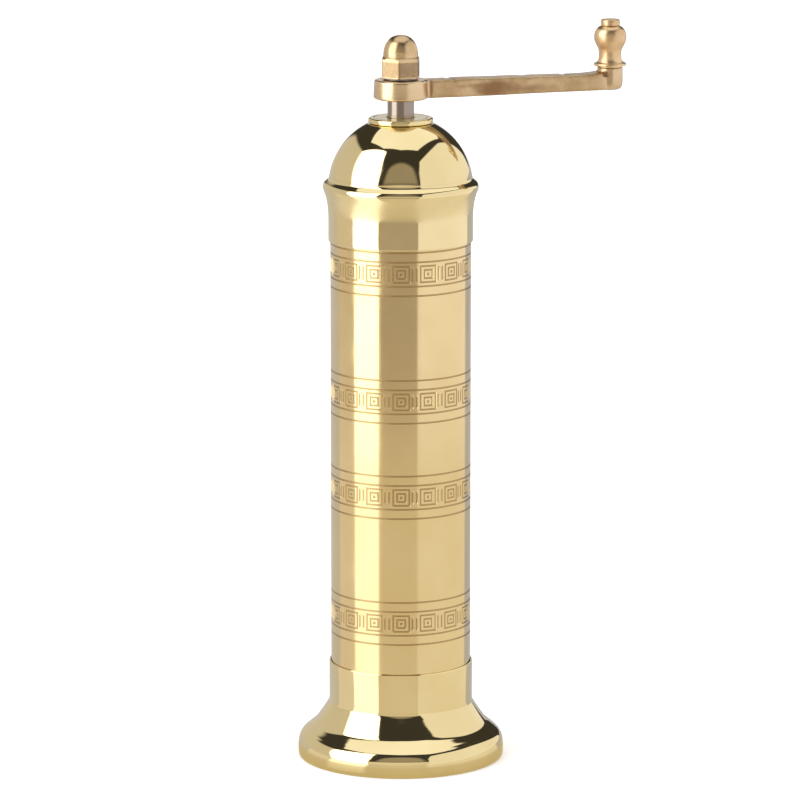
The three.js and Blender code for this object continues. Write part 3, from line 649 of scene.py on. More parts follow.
# %% The tube
def engraved_tube():
    low, high = tube_bottom, tube_top
    outer_z = np.sort(np.concatenate([rows_up, [low + 0.3, high - 0.3], np.arange(low + 4, high - 2, 4.0)]))
    edge = 0.25
    inner = float(tube_radius - 1.2)
    z = np.concatenate([[low, low], outer_z, [high, high, high - edge],
                        np.arange(high - 8, low + 6, -8.0), [low + edge]])
    base = np.concatenate([[inner + edge, tube_radius - edge], np.full(len(outer_z), tube_radius),
                           [tube_radius - edge, inner + edge], np.full(len(z) - len(outer_z) - 4, inner)])
    nearest = np.array(BAND_HEIGHTS)[np.abs(z[:, None] - np.array(BAND_HEIGHTS)).argmin(1)]
    from_band = z - nearest
    on_outside = (base == tube_radius)[:, None]
    rings = np.max([line(from_band - ring) for ring in RING_LINES], axis=0)[:, None]
    cut = np.maximum(frieze(columns_along[None, :], from_band[:, None]), rings) * on_outside
    angle = columns_along / tube_radius + BAND_TURN
    grid = shaped(base[:, None] - LINE_DEPTH * cut, z[:, None], angle[None, :])
    mesh = mesh_of("tube_engraved", grid, True, ("cut", cut))
    return finished("tube_engraved", mesh, "body_tube")


engraved_tube()

# %% [markdown]
# ## The cap
#
# The cap is two spun pieces that were soldered together. The lower one is a skirt that slips over
# the tube. It is a thickness wider than the tube, and near its top it swells into a rounded rim.
# The upper one is a dome, smaller than the rim, and a hollow curve runs from the rim up to its
# foot. The rim and that curve matter most: they are mirrors, and a mirror shows every flat in its
# outline, so the swell is a smooth curve, the rim an arc, and the hollow a curve again.

# %% The cap's skirt and dome
skirt_bottom, ledge_height = heights("cap_skirt")
dome_bottom, dome_flat = heights("cap_dome")
rim_radius = outer_radius("cap_skirt")
dome_radius = tube_radius + 0.6
DOME_SINK = 3.5
dome_centre = ledge_height - DOME_SINK
dome_foot = math.sqrt(dome_radius**2 - DOME_SINK**2)
CAP_WALL = 1.3
dome_foot_inside = math.sqrt((dome_radius - CAP_WALL) ** 2 - DOME_SINK**2)
RIM_ROUND = 1.9
rim_middle = ledge_height - 3.2
SHAFT_RADIUS = 4.05
RUNNING_GAP = 0.25
bore_radius = SHAFT_RADIUS + RUNNING_GAP
bush_stem_radius = bore_radius + 2.3
stem_hole = bush_stem_radius + 0.2


def cap_skirt():
    bore, outside = tube_radius + 0.25, tube_radius + 0.6
    shoulder_bottom = tube_top - 2.4
    sweep = rim_middle - shoulder_bottom
    swell = flowing([
        (outside, skirt_bottom + 1),
        (outside, shoulder_bottom - 1),
        (outside + 0.16, shoulder_bottom + 0.3 * sweep),
        (outside + 0.72, shoulder_bottom + 0.65 * sweep),
        (rim_radius - 0.12, rim_middle - 0.7),
    ], 12)
    rim = arc((rim_radius - RIM_ROUND, rim_middle), RIM_ROUND, -15, 50, 20)
    cove = flowing([rim[-1], (dome_foot + 0.70, ledge_height - 1.22), (dome_foot + 0.31, ledge_height - 0.84),
                    (dome_foot + 0.10, ledge_height - 0.42), (dome_foot + 0.01, dome_bottom - 0.01)], 10)[1:]
    hem = rounded([(bore, skirt_bottom + 1), (bore, skirt_bottom), (outside, skirt_bottom),
                   (outside, skirt_bottom + 0.9)], 0.14, closed=False)
    inside = [(dome_foot_inside, dome_bottom - 0.01), (dome_foot_inside, tube_top + 1.6),
              (tube_radius - 1.2, tube_top + 0.1), (bore, tube_top + 0.1)]
    profile = joined(hem, swell[:-1], rim, cove, inside)
    return lathe("cap_skirt_spun", "cap_skirt", profile, columns=256)


def cap_dome():
    top = dome_flat - dome_centre
    outer_from = math.degrees(math.asin((dome_bottom - dome_centre) / dome_radius))
    outer_to = math.degrees(math.asin(top / dome_radius))
    inner_radius = dome_radius - CAP_WALL
    inner_from = math.degrees(math.asin((dome_bottom - dome_centre) / inner_radius))
    inner_to = math.degrees(math.asin((top - CAP_WALL) / inner_radius))
    outside = arc((0, dome_centre), dome_radius, outer_from, outer_to, 72)
    flat = rounded([(9.8, dome_flat), (stem_hole, dome_flat), (stem_hole, dome_flat - CAP_WALL),
                    (9.0, dome_flat - CAP_WALL)], 0.15, closed=False)
    inside = arc((0, dome_centre), inner_radius, inner_to, inner_from, 40)
    return lathe("cap_dome_spun", "cap_dome", joined(outside, flat, inside), columns=256)


cap_skirt()
cap_dome()

# %% [markdown]
# ### The bush in the crown
#
# The shaft comes out through a brass bush: a disc on the crown, with a stem under it that a hexagon
# nut holds from inside. The disc's edge is a half round with a fine groove turned just inside it.

# %% The crown's bush and its nut
bush_bottom, bush_top = heights("cap_bush")


def cap_bush():
    disc_radius = outer_radius("cap_bush")
    disc_bottom = dome_flat + 0.1
    profile = rounded([
        (bore_radius, bush_bottom),
        (bush_stem_radius, bush_bottom),
        (bush_stem_radius, disc_bottom),
        (disc_radius, disc_bottom),
        (disc_radius, bush_top),
        (disc_radius - 1.6, bush_top),
        (disc_radius - 1.75, bush_top - 0.18),
        (disc_radius - 1.9, bush_top),
        (bore_radius, bush_top),
    ], [0.3, 0.3, 0.1, 0.7, 0.8, 0.05, 0.05, 0.05, 0.4], steps=7)
    return lathe("cap_bush_turned", "cap_bush", profile, columns=192)


def hexagon(angle, flats, turn=0.0, sharpness=60.0):
    """Radius of a hexagon with softened corners: half the width across flats, divided by the
    power mean of the positive cosines of the angles to its six faces."""
    faces = turn + np.radians(30 + 60 * np.arange(6))
    lean = np.maximum(np.cos(angle[..., None] - faces), 0)
    return flats / 2 / (lean**sharpness).sum(-1) ** (1 / sharpness)


def bush_nut():
    bottom, top = heights("bush_nut")
    flats = 2 * outer_radius("bush_nut")
    bore = bush_stem_radius + 0.2
    angle = around(180)
    edge = 0.25
    z = np.array([bottom, bottom, bottom + edge, top - edge, top, top])
    outer = hexagon(angle, flats)[None, :] - np.array([0, edge, 0, 0, edge, 0])[:, None]
    is_bore = np.array([1, 0, 0, 0, 0, 1])[:, None]
    grid = shaped(np.where(is_bore, bore, outer), z[:, None], angle[None, :])
    return finished("bush_nut_hexagon", mesh_of("bush_nut_hexagon", grid, True), "bush_nut")


cap_bush()
bush_nut()

# %% [markdown]
# ## The shaft
#
# A round steel rod runs from the thumb screw up through the cap. It ends in a short square, which
# the crank fits, and a threaded stud, which the acorn nut fits. The thread is a real helix: its
# radius falls and rises with (height / pitch - turn), so each ridge climbs one pitch a turn.

# %% The shaft
shaft_bottom, stud_top = heights("drive_shaft")
hub_bottom, boss_top = heights("crank_arm")
HUB_HEIGHT = 6.0
hub_top = hub_bottom + HUB_HEIGHT
STUD_RADIUS = 2.5
THREAD_PITCH = 0.8
THREAD_DEPTH = 0.35


def thread(radius, height, angle, pitch=THREAD_PITCH, depth=THREAD_DEPTH):
    """Radius less a V groove: depth * |2 f - 1|, where f is the fraction of (z / pitch - turn)."""
    share = (height / pitch - angle / (2 * np.pi)) % 1
    return radius - depth * np.abs(2 * share - 1)


def drive_shaft():
    angle = around(96)[None, :]
    square_half = (SHAFT_RADIUS - 0.1) / math.sqrt(2)
    shoulder = hub_bottom - 0.1
    square_top = hub_top - 0.8
    steps = int((stud_top - 0.5 - square_top - 0.4) / THREAD_PITCH * 8)
    stud_z = np.linspace(square_top + 0.4, stud_top - 0.5, steps)
    round_part = rounded([(0, shaft_bottom), (SHAFT_RADIUS, shaft_bottom), (SHAFT_RADIUS, shoulder)],
                         [0, 0.5, 0], 5, closed=False)
    z = np.concatenate([round_part[:, 1], [shoulder, square_top - 0.2, square_top, square_top], stud_z,
                        [stud_top, stud_top]])[:, None]
    four = np.stack([np.cos(angle), np.sin(angle), -np.cos(angle), -np.sin(angle)])
    square_radius = square_half / (np.maximum(four, 0) ** 40).sum(0) ** (1 / 40)
    first, last = len(round_part), len(round_part) + 4
    radius = np.concatenate([np.repeat(round_part[:, 0, None], 96, 1),
                             np.repeat(square_radius, 2, 0), square_radius - 0.2,
                             np.full((1, 96), STUD_RADIUS - THREAD_DEPTH),
                             thread(STUD_RADIUS, z[last:-2], angle),
                             np.full((1, 96), STUD_RADIUS - 0.6), np.zeros((1, 96))])
    print("the square begins at row", first, "and is", round(2 * square_half, 2), "mm across")
    mesh = mesh_of("shaft_turned", shaped(radius, z, angle), False)
    return finished("shaft_turned", mesh, "drive_shaft")


drive_shaft()

# %% [markdown]
# ## The crank
#
# The crank is one casting: a round hub, a flat bar and a boss for the knob's pin. Three simple
# surfaces make it. The bar is a rounded rectangle carried along a line, with its width and its top
# and bottom edges drifting a little, as a hand-finished casting's do. Then a voxel remesh fuses the
# three and softens the creases between them, as the sand mould did, and slow noise swells the skin.
# A plain join would leave hard seams where the bar runs into the hub.

# %% The crank's three shapes
ARM_LENGTH = float(span("knob")[0][0]) + outer_radius("knob")
hub_radius = outer_radius("crank_arm")
BAR_WIDTH = 6.5
BAR_HEIGHT = 4.9
BOSS_RADIUS = 3.95


def crank_bar(rows=160, columns=56):
    """Point (s, a): x runs with s, and y and z follow the curve |y/w|^n + |z/h|^n = 1, with n = 7."""
    s = np.linspace(0, 1, rows)
    start, end = hub_radius - 3.0, ARM_LENGTH - BOSS_RADIUS / 2
    x = start + s * (end - start)
    bottom = hub_bottom + 0.2
    top_points = [(0, 0.50), (0.22, 0.55), (0.42, 0.35), (0.6, 0.2), (0.84, -0.1), (0.94, 0.1), (1, 0.6)]
    low_points = [(0, -0.15), (0.3, -0.35), (0.65, -0.35), (1, -0.5)]
    top_curve, low_curve = flowing(top_points), flowing(low_points)
    top = bottom + BAR_HEIGHT + np.interp(s, top_curve[:, 0], top_curve[:, 1])
    low = bottom + np.interp(s, low_curve[:, 0], low_curve[:, 1])
    for place, depth, width in ((0.17, 0.28, 0.012), (0.57, 0.18, 0.02), (0.79, 0.30, 0.010)):
        top = top - depth * np.exp(-(((s - place) / width) ** 2))
    half_width = BAR_WIDTH / 2 * (1 + 0.02 * np.sin(9 * s + 1) - 0.02 * np.cos(23 * s))
    a = around(columns)
    power = 2 / 7
    y = np.sign(np.cos(a)) * np.abs(np.cos(a)) ** power
    z = np.sign(np.sin(a)) * np.abs(np.sin(a)) ** power
    middle, half = (top + low) / 2, (top - low) / 2
    grid = np.stack([np.repeat(x[:, None], columns, 1), half_width[:, None] * y,
                     middle[:, None] + half[:, None] * z], -1)
    ends = grid[[0, -1]].mean(1, keepdims=True) + 0 * grid[[0, -1]]
    return np.concatenate([ends[:1], grid, ends[1:]])


def crank_hub():
    outline = rounded([(0, hub_bottom), (hub_radius, hub_bottom), (hub_radius - 0.3, hub_top - 0.45),
                       (hub_radius - 0.75, hub_top), (0, hub_top)], [0, 1.0, 0.3, 0.3, 0], 6, closed=False)
    return turned(outline, 96)


def crank_boss():
    sole = hub_bottom - 0.35
    outline = rounded([(0, sole), (BOSS_RADIUS, sole), (BOSS_RADIUS, boss_top), (0, boss_top)],
                      [0, 2.4, 0.3, 0], 6, closed=False)
    return turned(outline, 64, ARM_LENGTH)


# %% Fusing and swelling the casting
def swell(points, size, seed):
    """Slow noise from -1 to 1: the mean of 24 sine waves in random directions, `size` mm long."""
    draw = np.random.default_rng(seed)
    ways = draw.normal(size=(24, 3))
    ways /= np.linalg.norm(ways, axis=1, keepdims=True)
    lengths = size * draw.uniform(0.7, 1.6, 24)
    phases = draw.uniform(0, 2 * np.pi, 24)
    return np.sin(points @ ways.T * (2 * np.pi / lengths) + phases).mean(1) * 2.2


def vectors(collection, name):
    """One vector for each item of a mesh's vertices or normals, as an array."""
    values = np.empty(len(collection) * 3, np.float32)
    collection.foreach_get(name, values)
    return values.reshape(-1, 3).astype(float)


def near(points, spot, size):
    """1 at a spot and falling off over `size` mm, as exp(-distance^2 / size^2)."""
    return np.exp(-(((points - np.array(spot)) / np.array(size)) ** 2).sum(1))


def cutter(name, grid, loop=False):
    """A shape that is taken out of another and isn't kept."""
    shape = bpy.data.objects.new(name, mesh_of(name, grid, loop))
    bpy.context.scene.collection.objects.link(shape)
    return shape


def applied(piece, kind, settings):
    """Adds a modifier, bakes it into the mesh, and gives the new mesh."""
    modifier = piece.modifiers.new(kind.lower(), kind)
    for name, value in settings.items():
        setattr(modifier, name, value)
    graph = bpy.context.evaluated_depsgraph_get()
    mesh = bpy.data.meshes.new_from_object(piece.evaluated_get(graph))
    piece.modifiers.clear()
    piece.data = mesh
    return mesh


def combined(piece, tool, operation="DIFFERENCE"):
    """Applies a boolean with a tool, takes the tool away, and gives the new mesh."""
    mesh = applied(piece, "BOOLEAN", {"operation": operation, "object": tool, "solver": "EXACT"})
    bpy.data.objects.remove(tool)
    return mesh


def worker_of(*meshes):
    """One loose object that holds several meshes together."""
    together = bmesh.new()
    for mesh in meshes:
        together.from_mesh(mesh)
    raw = bpy.data.meshes.new("worker")
    together.to_mesh(raw)
    together.free()
    worker = bpy.data.objects.new("worker", raw)
    bpy.context.scene.collection.objects.link(worker)
    return worker


# Each stain, patch of painted shade or pit has a strength, a place, and how far it spreads, in millimetres.
PIT = (0.45, (ARM_LENGTH - 2.7, -3.0, hub_bottom + 4.9), (0.9, 1.6, 0.55))
# The first two entries darken the creases where the bar meets the boss and the hub: painted shade there, with
# some patina. The other four are brown stains along the front of the bar.
STAINS_AND_CREASE_SHADE = (
    (1.40, (ARM_LENGTH - 2.6, -3.0, hub_bottom + 4.7), (1.3, 1.8, 0.9)),
    (0.70, (hub_radius + 0.3, -3.2, hub_bottom + 3), (0.6, 2.5, 4)),
    (0.60, (30, -3.2, hub_bottom + 2.2), (6, 4, 3)),
    (0.35, (45, -3.2, hub_bottom + 1.6), (9, 4, 1.6)),
    (0.30, (20, -3.2, hub_bottom + 3.4), (8, 4, 0.8)),
    (0.22, (32, -3.2, hub_bottom + 2.6), (15, 4, 4)),
)
VOXEL = 0.24


def crank_arm():
    shapes = (crank_hub(), crank_bar(), crank_boss())
    worker = worker_of(*(mesh_of(f"crank_{i}", shape, False) for i, shape in enumerate(shapes)))
    applied(worker, "REMESH", {"mode": "VOXEL", "voxel_size": VOXEL * MM, "adaptivity": 0.0})
    mesh = applied(worker, "SMOOTH", {"factor": 0.5, "iterations": 4})
    points = vectors(mesh.vertices, "co") / MM
    normals = vectors(mesh.vertex_normals, "vector")
    on_bar = np.clip((np.hypot(points[:, 0], points[:, 1]) - hub_radius + 1) / 2, 0, 1)
    depth = 0.035 * swell(points, 9.0, 3) + 0.02 * swell(points, 3.2, 4)
    pit_depth = PIT[0] * near(points, *PIT[1:])
    inward = np.minimum(depth * (0.25 + 0.75 * on_bar) - 0.03, 0.0) - pit_depth
    moved = (points + normals * inward[:, None]) * MM
    mesh.vertices.foreach_set("co", moved.astype(np.float32).ravel())
    # Stains, and painted shade in the creases, as one number at each corner.
    stain_and_shade = sum(strength * near(points, spot, size) for strength, spot, size in STAINS_AND_CREASE_SHADE)
    on_hub = np.clip((hub_radius + 0.8 - np.hypot(points[:, 0], points[:, 1])) / 1.2, 0, 1)
    on_boss = np.clip((points[:, 0] - ARM_LENGTH + BOSS_RADIUS + 1.5) / 3, 0, 1)
    for name, value in (("stain_and_shade", stain_and_shade), ("rubbed", np.maximum(on_hub, 0.6 * on_boss))):
        layer = mesh.attributes.new(name, "FLOAT", "POINT")
        layer.data.foreach_set("value", value.astype(np.float32))
    mesh.update()
    return worker


def crank():
    """The fused casting with its square hole for the shaft and its hole for the knob's pin."""
    worker = crank_arm()
    side = (SHAFT_RADIUS - 0.1) / math.sqrt(2) + 0.2
    four = around(4)[None, :] + np.pi / 4
    z = np.array([hub_bottom - 1, hub_bottom - 1, hub_top + 1, hub_top + 1])[:, None]
    wide = np.array([0, 1, 1, 0])[:, None]
    square_hole = cutter("square_hole", shaped(wide * side * math.sqrt(2), z, four))
    floor = heights("knob_pin")[0] - 0.4
    pin = [(0, floor), (2.1, floor), (2.1, boss_top + 1), (0, boss_top + 1)]
    pin_hole = cutter("pin_hole", turned(pin, 48, ARM_LENGTH))
    for hole in (square_hole, pin_hole):
        combined(worker, hole)
    mesh = worker.data
    mesh.name = "crank_casting"
    bpy.data.objects.remove(worker)
    return finished("crank_casting", mesh, "crank_arm", sharp=50.0)


crank()

# %% [markdown]
# ## The acorn nut
#
# The nut is a hexagon below and a blunt bullet above. Both are the same kind of surface, a radius
# for every height and angle, so the whole nut is one grid: the smaller of the hexagon's radius and
# a turned outline's. That is how the real corners get their curved chamfers too, on a lathe.

# %% The acorn nut and its washer
NUT_FLATS = 11.0
HEX_HEIGHT = 6.2
NUT_TURN = 0.61
NUT_DOME_RADIUS = 5.35


def acorn_nut():
    bottom, top = heights("acorn_nut")
    hex_top = bottom + HEX_HEIGHT
    corner = NUT_FLATS / math.sqrt(3)
    envelope = rounded([(corner - 0.3, bottom), (corner, bottom + 0.25), (corner, hex_top - 0.6),
                        (corner - 0.95, hex_top), (NUT_DOME_RADIUS, hex_top)], 0.2, 4, closed=False)
    side = np.stack([np.full(6, corner), np.linspace(bottom + 1, hex_top - 1.3, 6)], 1)
    envelope = np.concatenate([envelope[:6], side, envelope[6:]])
    t = np.linspace(0, np.pi / 2, 40)
    blunt = 2 / 2.25
    bullet = np.stack([NUT_DOME_RADIUS * np.cos(t) ** blunt,
                       hex_top + (top - hex_top) * np.sin(t) ** blunt], 1)
    bullet[-1, 0] = 0
    bore_top = bottom + 9.2
    bore_radius_here = STUD_RADIUS + 0.2
    bore = [(0, bore_top), (bore_radius_here, bore_top), (bore_radius_here, bottom + 0.3),
            (STUD_RADIUS + 0.5, bottom)]
    outline = joined(bore, envelope, bullet)
    angle = around(240)[None, :]
    six = hexagon(angle[0], NUT_FLATS, NUT_TURN + np.pi / 6)[None, :]
    radius = np.minimum(outline[:, 0, None] + 0 * angle, six)
    mesh = mesh_of("acorn_nut_cast", shaped(radius, outline[:, 1, None], angle), False)
    # A thin band where the hexagon meets the dome is darkened: painted shade in that crease.
    stain_and_shade = 0.5 * (np.abs(vectors(mesh.vertices, "co")[:, 2] / MM - hex_top) < 0.35)
    mesh.attributes.new("stain_and_shade", "FLOAT", "POINT").data.foreach_set("value", stain_and_shade.astype(np.float32))
    return finished("acorn_nut_cast", mesh, "acorn_nut", CAST_NUT, 28.0)


def flat_ring(name, node, inner, outer, edge=0.12, centre_x=0.0, material=None):
    """A washer: a rectangle with softened corners, spun round the axis."""
    bottom, top = heights(node)
    outline = rounded([(inner, bottom), (outer, bottom), (outer, top), (inner, top)], edge)
    return lathe(name, node, outline, columns=128, centre_x=centre_x, material=material)


acorn_nut()
# The washer under the nut is dark hardened steel so that it shows as a dark line: painted shade in the gap
# between the nut and the hub.
flat_ring("crank_washer_painted_shade", "crank_washer", STUD_RADIUS + 0.2, outer_radius("crank_washer"),
          material=BURR_STEEL)

# %% [markdown]
# ## The knob
#
# The knob spins on a pin. It is turned in one piece: a thin flange, a waist, and a bulb whose
# underside swells quickly and whose top rolls in to a small flat. The pin's head sits on the flat
# as a button. The outline is a smooth curve through a few points, so its highlights don't break.

# %% The knob, its pin and its washer
def knob():
    bottom, top = heights("knob")
    flange = outer_radius("knob")
    bore = 2.15
    outline = flowing([
        (4.05, bottom + 1.1),
        (3.60, bottom + 1.9),
        (3.47, bottom + 3.0),
        (3.50, bottom + 4.3),
        (3.75, bottom + 5.3),
        (4.35, bottom + 6.4),
        (4.84, bottom + 7.6),
        (5.0, bottom + 8.9),
        (4.80, bottom + 10.2),
        (4.20, bottom + 11.3),
        (3.40, bottom + 12.0),
        (2.85, top),
    ], 8)
    foot_of_knob = rounded([(bore, bottom), (flange, bottom), (flange, bottom + 0.8), (4.3, bottom + 0.95)],
                           [0, 0.25, 0.4, 0], 6, closed=False)
    profile = joined(foot_of_knob, outline, [(bore, top)])
    return lathe("knob_turned", "knob", profile, columns=144, centre_x=ARM_LENGTH, material=CAST_KNOB)


def knob_pin():
    bottom, top = heights("knob_pin")
    button = outer_radius("knob_pin")
    under = top - 1.9
    profile = rounded([(0, bottom), (1.9, bottom), (1.9, under), (button, under), (button, top), (0, top)],
                      [0, 0.3, 0.1, 0.25, 0.7, 0], 7, closed=False)
    return lathe("knob_pin_turned", "knob_pin", profile, False, 96, ARM_LENGTH, CAST_KNOB)


knob()
knob_pin()
flat_ring("knob_washer_stamped", "knob_washer", 2.15, outer_radius("knob_washer"), 0.08, ARM_LENGTH, CAST_KNOB)

# %% [markdown]
# ## The burrs
#
# A toothed cone turns inside a toothed ring. Each tooth is a saw shape round the axis, twisted with
# height, so a ridge is a helix. One formula makes both: the plain cone's radius, less or plus a
# saw of (turn * number of teeth + twist * height).

# %% The grinding pieces
TEETH = 24
TWIST = 0.03
TOOTH_DEPTH = 0.65


def saw(angle, height, count=TEETH):
    """0 to 1: rises over four fifths of a tooth and drops over the rest."""
    share = (count * (angle - TWIST * height) / (2 * np.pi)) % 1
    return np.where(share < 0.8, share / 0.8, (1 - share) / 0.2)


def toothed(name, node, outline, is_toothed, outward):
    """A turned outline whose toothed rows are cut by the saw, outwards in a bore."""
    angle = around(TEETH * 20)[None, :]
    radius, z = outline[:, 0, None], outline[:, 1, None]
    cut = TOOTH_DEPTH * saw(angle, z - outline[0, 1]) * np.asarray(is_toothed, float)[:, None]
    mesh = mesh_of(name, shaped(radius + outward * cut, z, angle), True)
    return finished(name, mesh, node, sharp=40.0)


def burr_ring():
    bottom, top = heights("burr_ring")
    outer = outer_radius("burr_ring")
    z = np.linspace(top - 0.3, bottom + 0.3, 24)
    bore = np.stack([14.4 - 2.2 * (z - bottom) / (top - bottom), z], 1)
    ends = [(12.9, top), (outer - 0.3, top), (outer, top - 0.3),
            (outer, bottom + 0.3), (outer - 0.3, bottom), (15.2, bottom)]
    outline = joined(bore, ends[::-1])
    return toothed("burr_ring_cut", "burr_ring", outline, [1] * len(bore) + [0] * len(ends), 1)


def male_burr():
    bottom, top = heights("male_burr")
    low_radius, high_radius = 13.4, 6.7
    side = flowing([(low_radius, bottom + 0.2), (low_radius - 0.7, bottom + 4.8),
                    (low_radius - 2.5, bottom + 8.8), (high_radius + 1.9, bottom + 12.8),
                    (high_radius, top - 0.1)], 8)
    inside = [(bore_radius, top), (bore_radius, bottom), (low_radius - 1.4, bottom)]
    outline = joined(side, inside)
    return toothed("burr_cone_cut", "male_burr", outline, [1] * len(side) + [0] * len(inside), -1)


burr_ring()
male_burr()

# %% [markdown]
# ## The spring, its collar and the guide
#
# A spring presses the shaft down on the thumb screw. It is a round wire along a helix, with its two
# end turns closed up, as real ones are so that they stand flat. When the thumb screw lifts the
# shaft the spring gets shorter; the script works out by how much, but the spring keeps its shape.

# %% The spring
def along_helix(angle, radius, height, section):
    """A circle of the section's radius, square to a helix of that radius and height at each angle."""
    path = np.stack([radius * np.cos(angle), radius * np.sin(angle), height], -1)
    ahead = np.gradient(path, axis=0)
    ahead /= np.linalg.norm(ahead, axis=1, keepdims=True)
    out = np.stack([np.cos(angle), np.sin(angle), 0 * angle], -1)
    up = np.cross(ahead, out)
    b = around(14)[None, :, None]
    tube = path[:, None] + section[:, None, None] * (np.cos(b) * out[:, None] + np.sin(b) * up[:, None])
    return tube


def pressure_spring():
    low, high = heights("pressure_spring")
    wire = 0.5
    turns = 6
    share = np.linspace(0, 1, turns * 36)
    angle = share * turns * 2 * np.pi
    closed_up = np.clip((share - 0.12) / 0.76, 0, 1)
    height = low + wire + (high - low - 2 * wire) * (0.1 * share + 0.9 * closed_up)
    section = np.full(len(share), wire)
    section[[0, -1]] = 1e-6
    radius = outer_radius("pressure_spring") - wire
    mesh = mesh_of("spring_wound", along_helix(angle, radius, height, section), False)
    piece = finished("spring_wound", mesh, "pressure_spring")
    travel = next(j for j in frame["joints"] if j["name"] == "burr_lift")["range_m"][1] / MM
    keep = 1 - travel / (high - low)
    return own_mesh(piece)


pressure_spring()
flat_ring("spring_washer_stamped", "spring_washer", bore_radius, outer_radius("spring_washer"))
flat_ring("spring_collar_turned", "spring_collar", bore_radius, outer_radius("spring_collar"), 0.35)

# %% [markdown]
# ### Straps
#
# Both bridges are cut from strip. A strap is an outline pushed up through its thickness, with its
# edges broken. Its holes are taken out with a boolean, because a grid can't have a hole in it.

# %% The guide and the bottom bridge
def strap_outline(half_length, half_width, corner, eye=0.0):
    """A rounded rectangle, or with an eye, the union of it and a circle of that radius."""
    angle = around(160)
    box = np.minimum(half_length / np.maximum(np.abs(np.cos(angle)), 1e-6),
                     half_width / np.maximum(np.abs(np.sin(angle)), 1e-6))
    capped = np.minimum(box, np.hypot(half_length, half_width) - corner)
    return angle, np.maximum(capped, eye)


def slab(name, angle, radius, bottom, top, edge=0.25):
    """The outline at four heights, drawn in by `edge` at the outer two, and closed on the axis."""
    inset = np.array([1, edge, 0, 0, edge, 1], float)[:, None]
    inset[[0, -1]] = radius.max() * 2
    z = np.array([bottom, bottom, bottom + edge, top - edge, top, top])[:, None]
    return mesh_of(name, shaped(np.maximum(radius[None, :] - inset, 0), z, angle[None, :]), False)


def drilled(piece, holes):
    """Takes upright holes (x, radius, bottom, top) out of a piece."""
    for x, radius, bottom, top in holes:
        hole = cutter("drill", turned([(0, bottom), (radius, bottom), (radius, top), (0, top)], 64, x))
        combined(piece, hole)
    return piece.data


def guide_bridge():
    bottom, top = heights("guide_bridge")
    reach = float(span("guide_bridge")[1][0])
    thick = 1.4
    eye_radius = bore_radius + 1.7
    angle, radius = strap_outline(reach, 4.5, 0.4, eye_radius + 3.0)
    parts = [slab("guide_strap", angle, radius, bottom, bottom + thick)]
    for side in (-1, 1):
        ear_angle, ear_radius = strap_outline(thick / 2, 4.5, 0.2)
        ear = slab("guide_ear", ear_angle, ear_radius, bottom + 0.3, top)
        moved = vectors(ear.vertices, "co") + np.array([side * (reach - thick / 2), 0, 0]) * MM
        ear.vertices.foreach_set("co", moved.astype(np.float32).ravel())
        parts.append(ear)
    worker = worker_of(*parts)
    mesh = drilled(worker, [(0.0, eye_radius, bottom - 1, top + 1)])
    bpy.data.objects.remove(worker)
    return finished("guide_bridge_bent", mesh, "guide_bridge")


def guide_bush():
    bottom, top = heights("guide_bush")
    outer = bore_radius + 1.5
    flange = outer_radius("guide_bush")
    outline = rounded([(bore_radius, bottom), (flange, bottom), (flange, bottom + 1.3), (outer, bottom + 1.3),
                       (outer, top), (bore_radius, top)], 0.25)
    return lathe("guide_bush_turned", "guide_bush", outline, columns=128)


SCREW_PLACE = float(span("bridge_screw_1")[0][0]) + outer_radius("bridge_screw_1")


def bottom_bridge():
    bottom, top = heights("bottom_bridge")
    reach = float(span("bottom_bridge")[1][0])
    angle, radius = strap_outline(reach + 2, 4.5, 0.0)
    radius = np.minimum(radius, reach)
    strap = slab("bridge_strap", angle, radius, top - 2.0, top)
    outline = rounded([(0, bottom), (5.2, bottom), (5.2, top - 1.0), (0, top - 1.0)],
                      [0, 0.6, 0.1, 0], 5, closed=False)
    boss = mesh_of("bridge_boss", turned(outline, 96), False)
    worker = worker_of(strap)
    combined(worker, worker_of(boss), "UNION")
    holes = [(0.0, 3.2, bottom - 1, top + 1)]
    holes += [(side * SCREW_PLACE, 1.2, bottom - 1, top + 1) for side in (-1, 1)]
    mesh = drilled(worker, holes)
    bpy.data.objects.remove(worker)
    return finished("bottom_bridge_turned", mesh, "bottom_bridge")


guide_bridge()
guide_bush()
bottom_bridge()

# %% [markdown]
# ## The thumb screw and the small screws
#
# The thumb screw's head has twelve scallops to turn it by, with the sharp edges taken off. The two
# bridge screws have domed heads with a slot. A slot is a straight cut, so it is one long thin box
# taken out of the head.

# %% The screws
def thumb_screw():
    bottom, tip = heights("adjusting_screw")
    head = outer_radius("adjusting_screw")
    head_top = bottom + 5.5
    angle = around(240)[None, :]
    scallop = 0.5 * (1 - np.cos(12 * angle)) / 2
    z_shank = np.linspace(head_top + 0.3, tip - 0.8, 110)
    z_head = [bottom, bottom, bottom + 0.15, bottom + 0.5, head_top - 0.5, head_top - 0.15, head_top, head_top]
    z = np.concatenate([z_head, z_shank, [tip, tip]])[:, None]
    shrink = np.array([1, 0.5, 0.15, 0, 0, 0.15, 0.5])[:, None]
    body = head - shrink - scallop
    body[0] = 0
    shank = thread(3.0, z_shank[:, None], angle, 1.0, 0.4)
    radius = np.concatenate([body, np.full((1, 240), 2.7), shank, np.full((1, 240), 2.3), np.zeros((1, 240))])
    worker = worker_of(mesh_of("thumb_screw", shaped(radius, z, angle), False))
    seat = tip + 1.1
    ball = arc((0, seat), 2.2, -90, 90, 24)
    ball[[0, -1], 0] = 0
    cup = cutter("ball_cup", turned(ball, 48))
    mesh = combined(worker, cup)
    bpy.data.objects.remove(worker)
    return finished("thumb_screw_turned", mesh, "adjusting_screw", sharp=40.0)


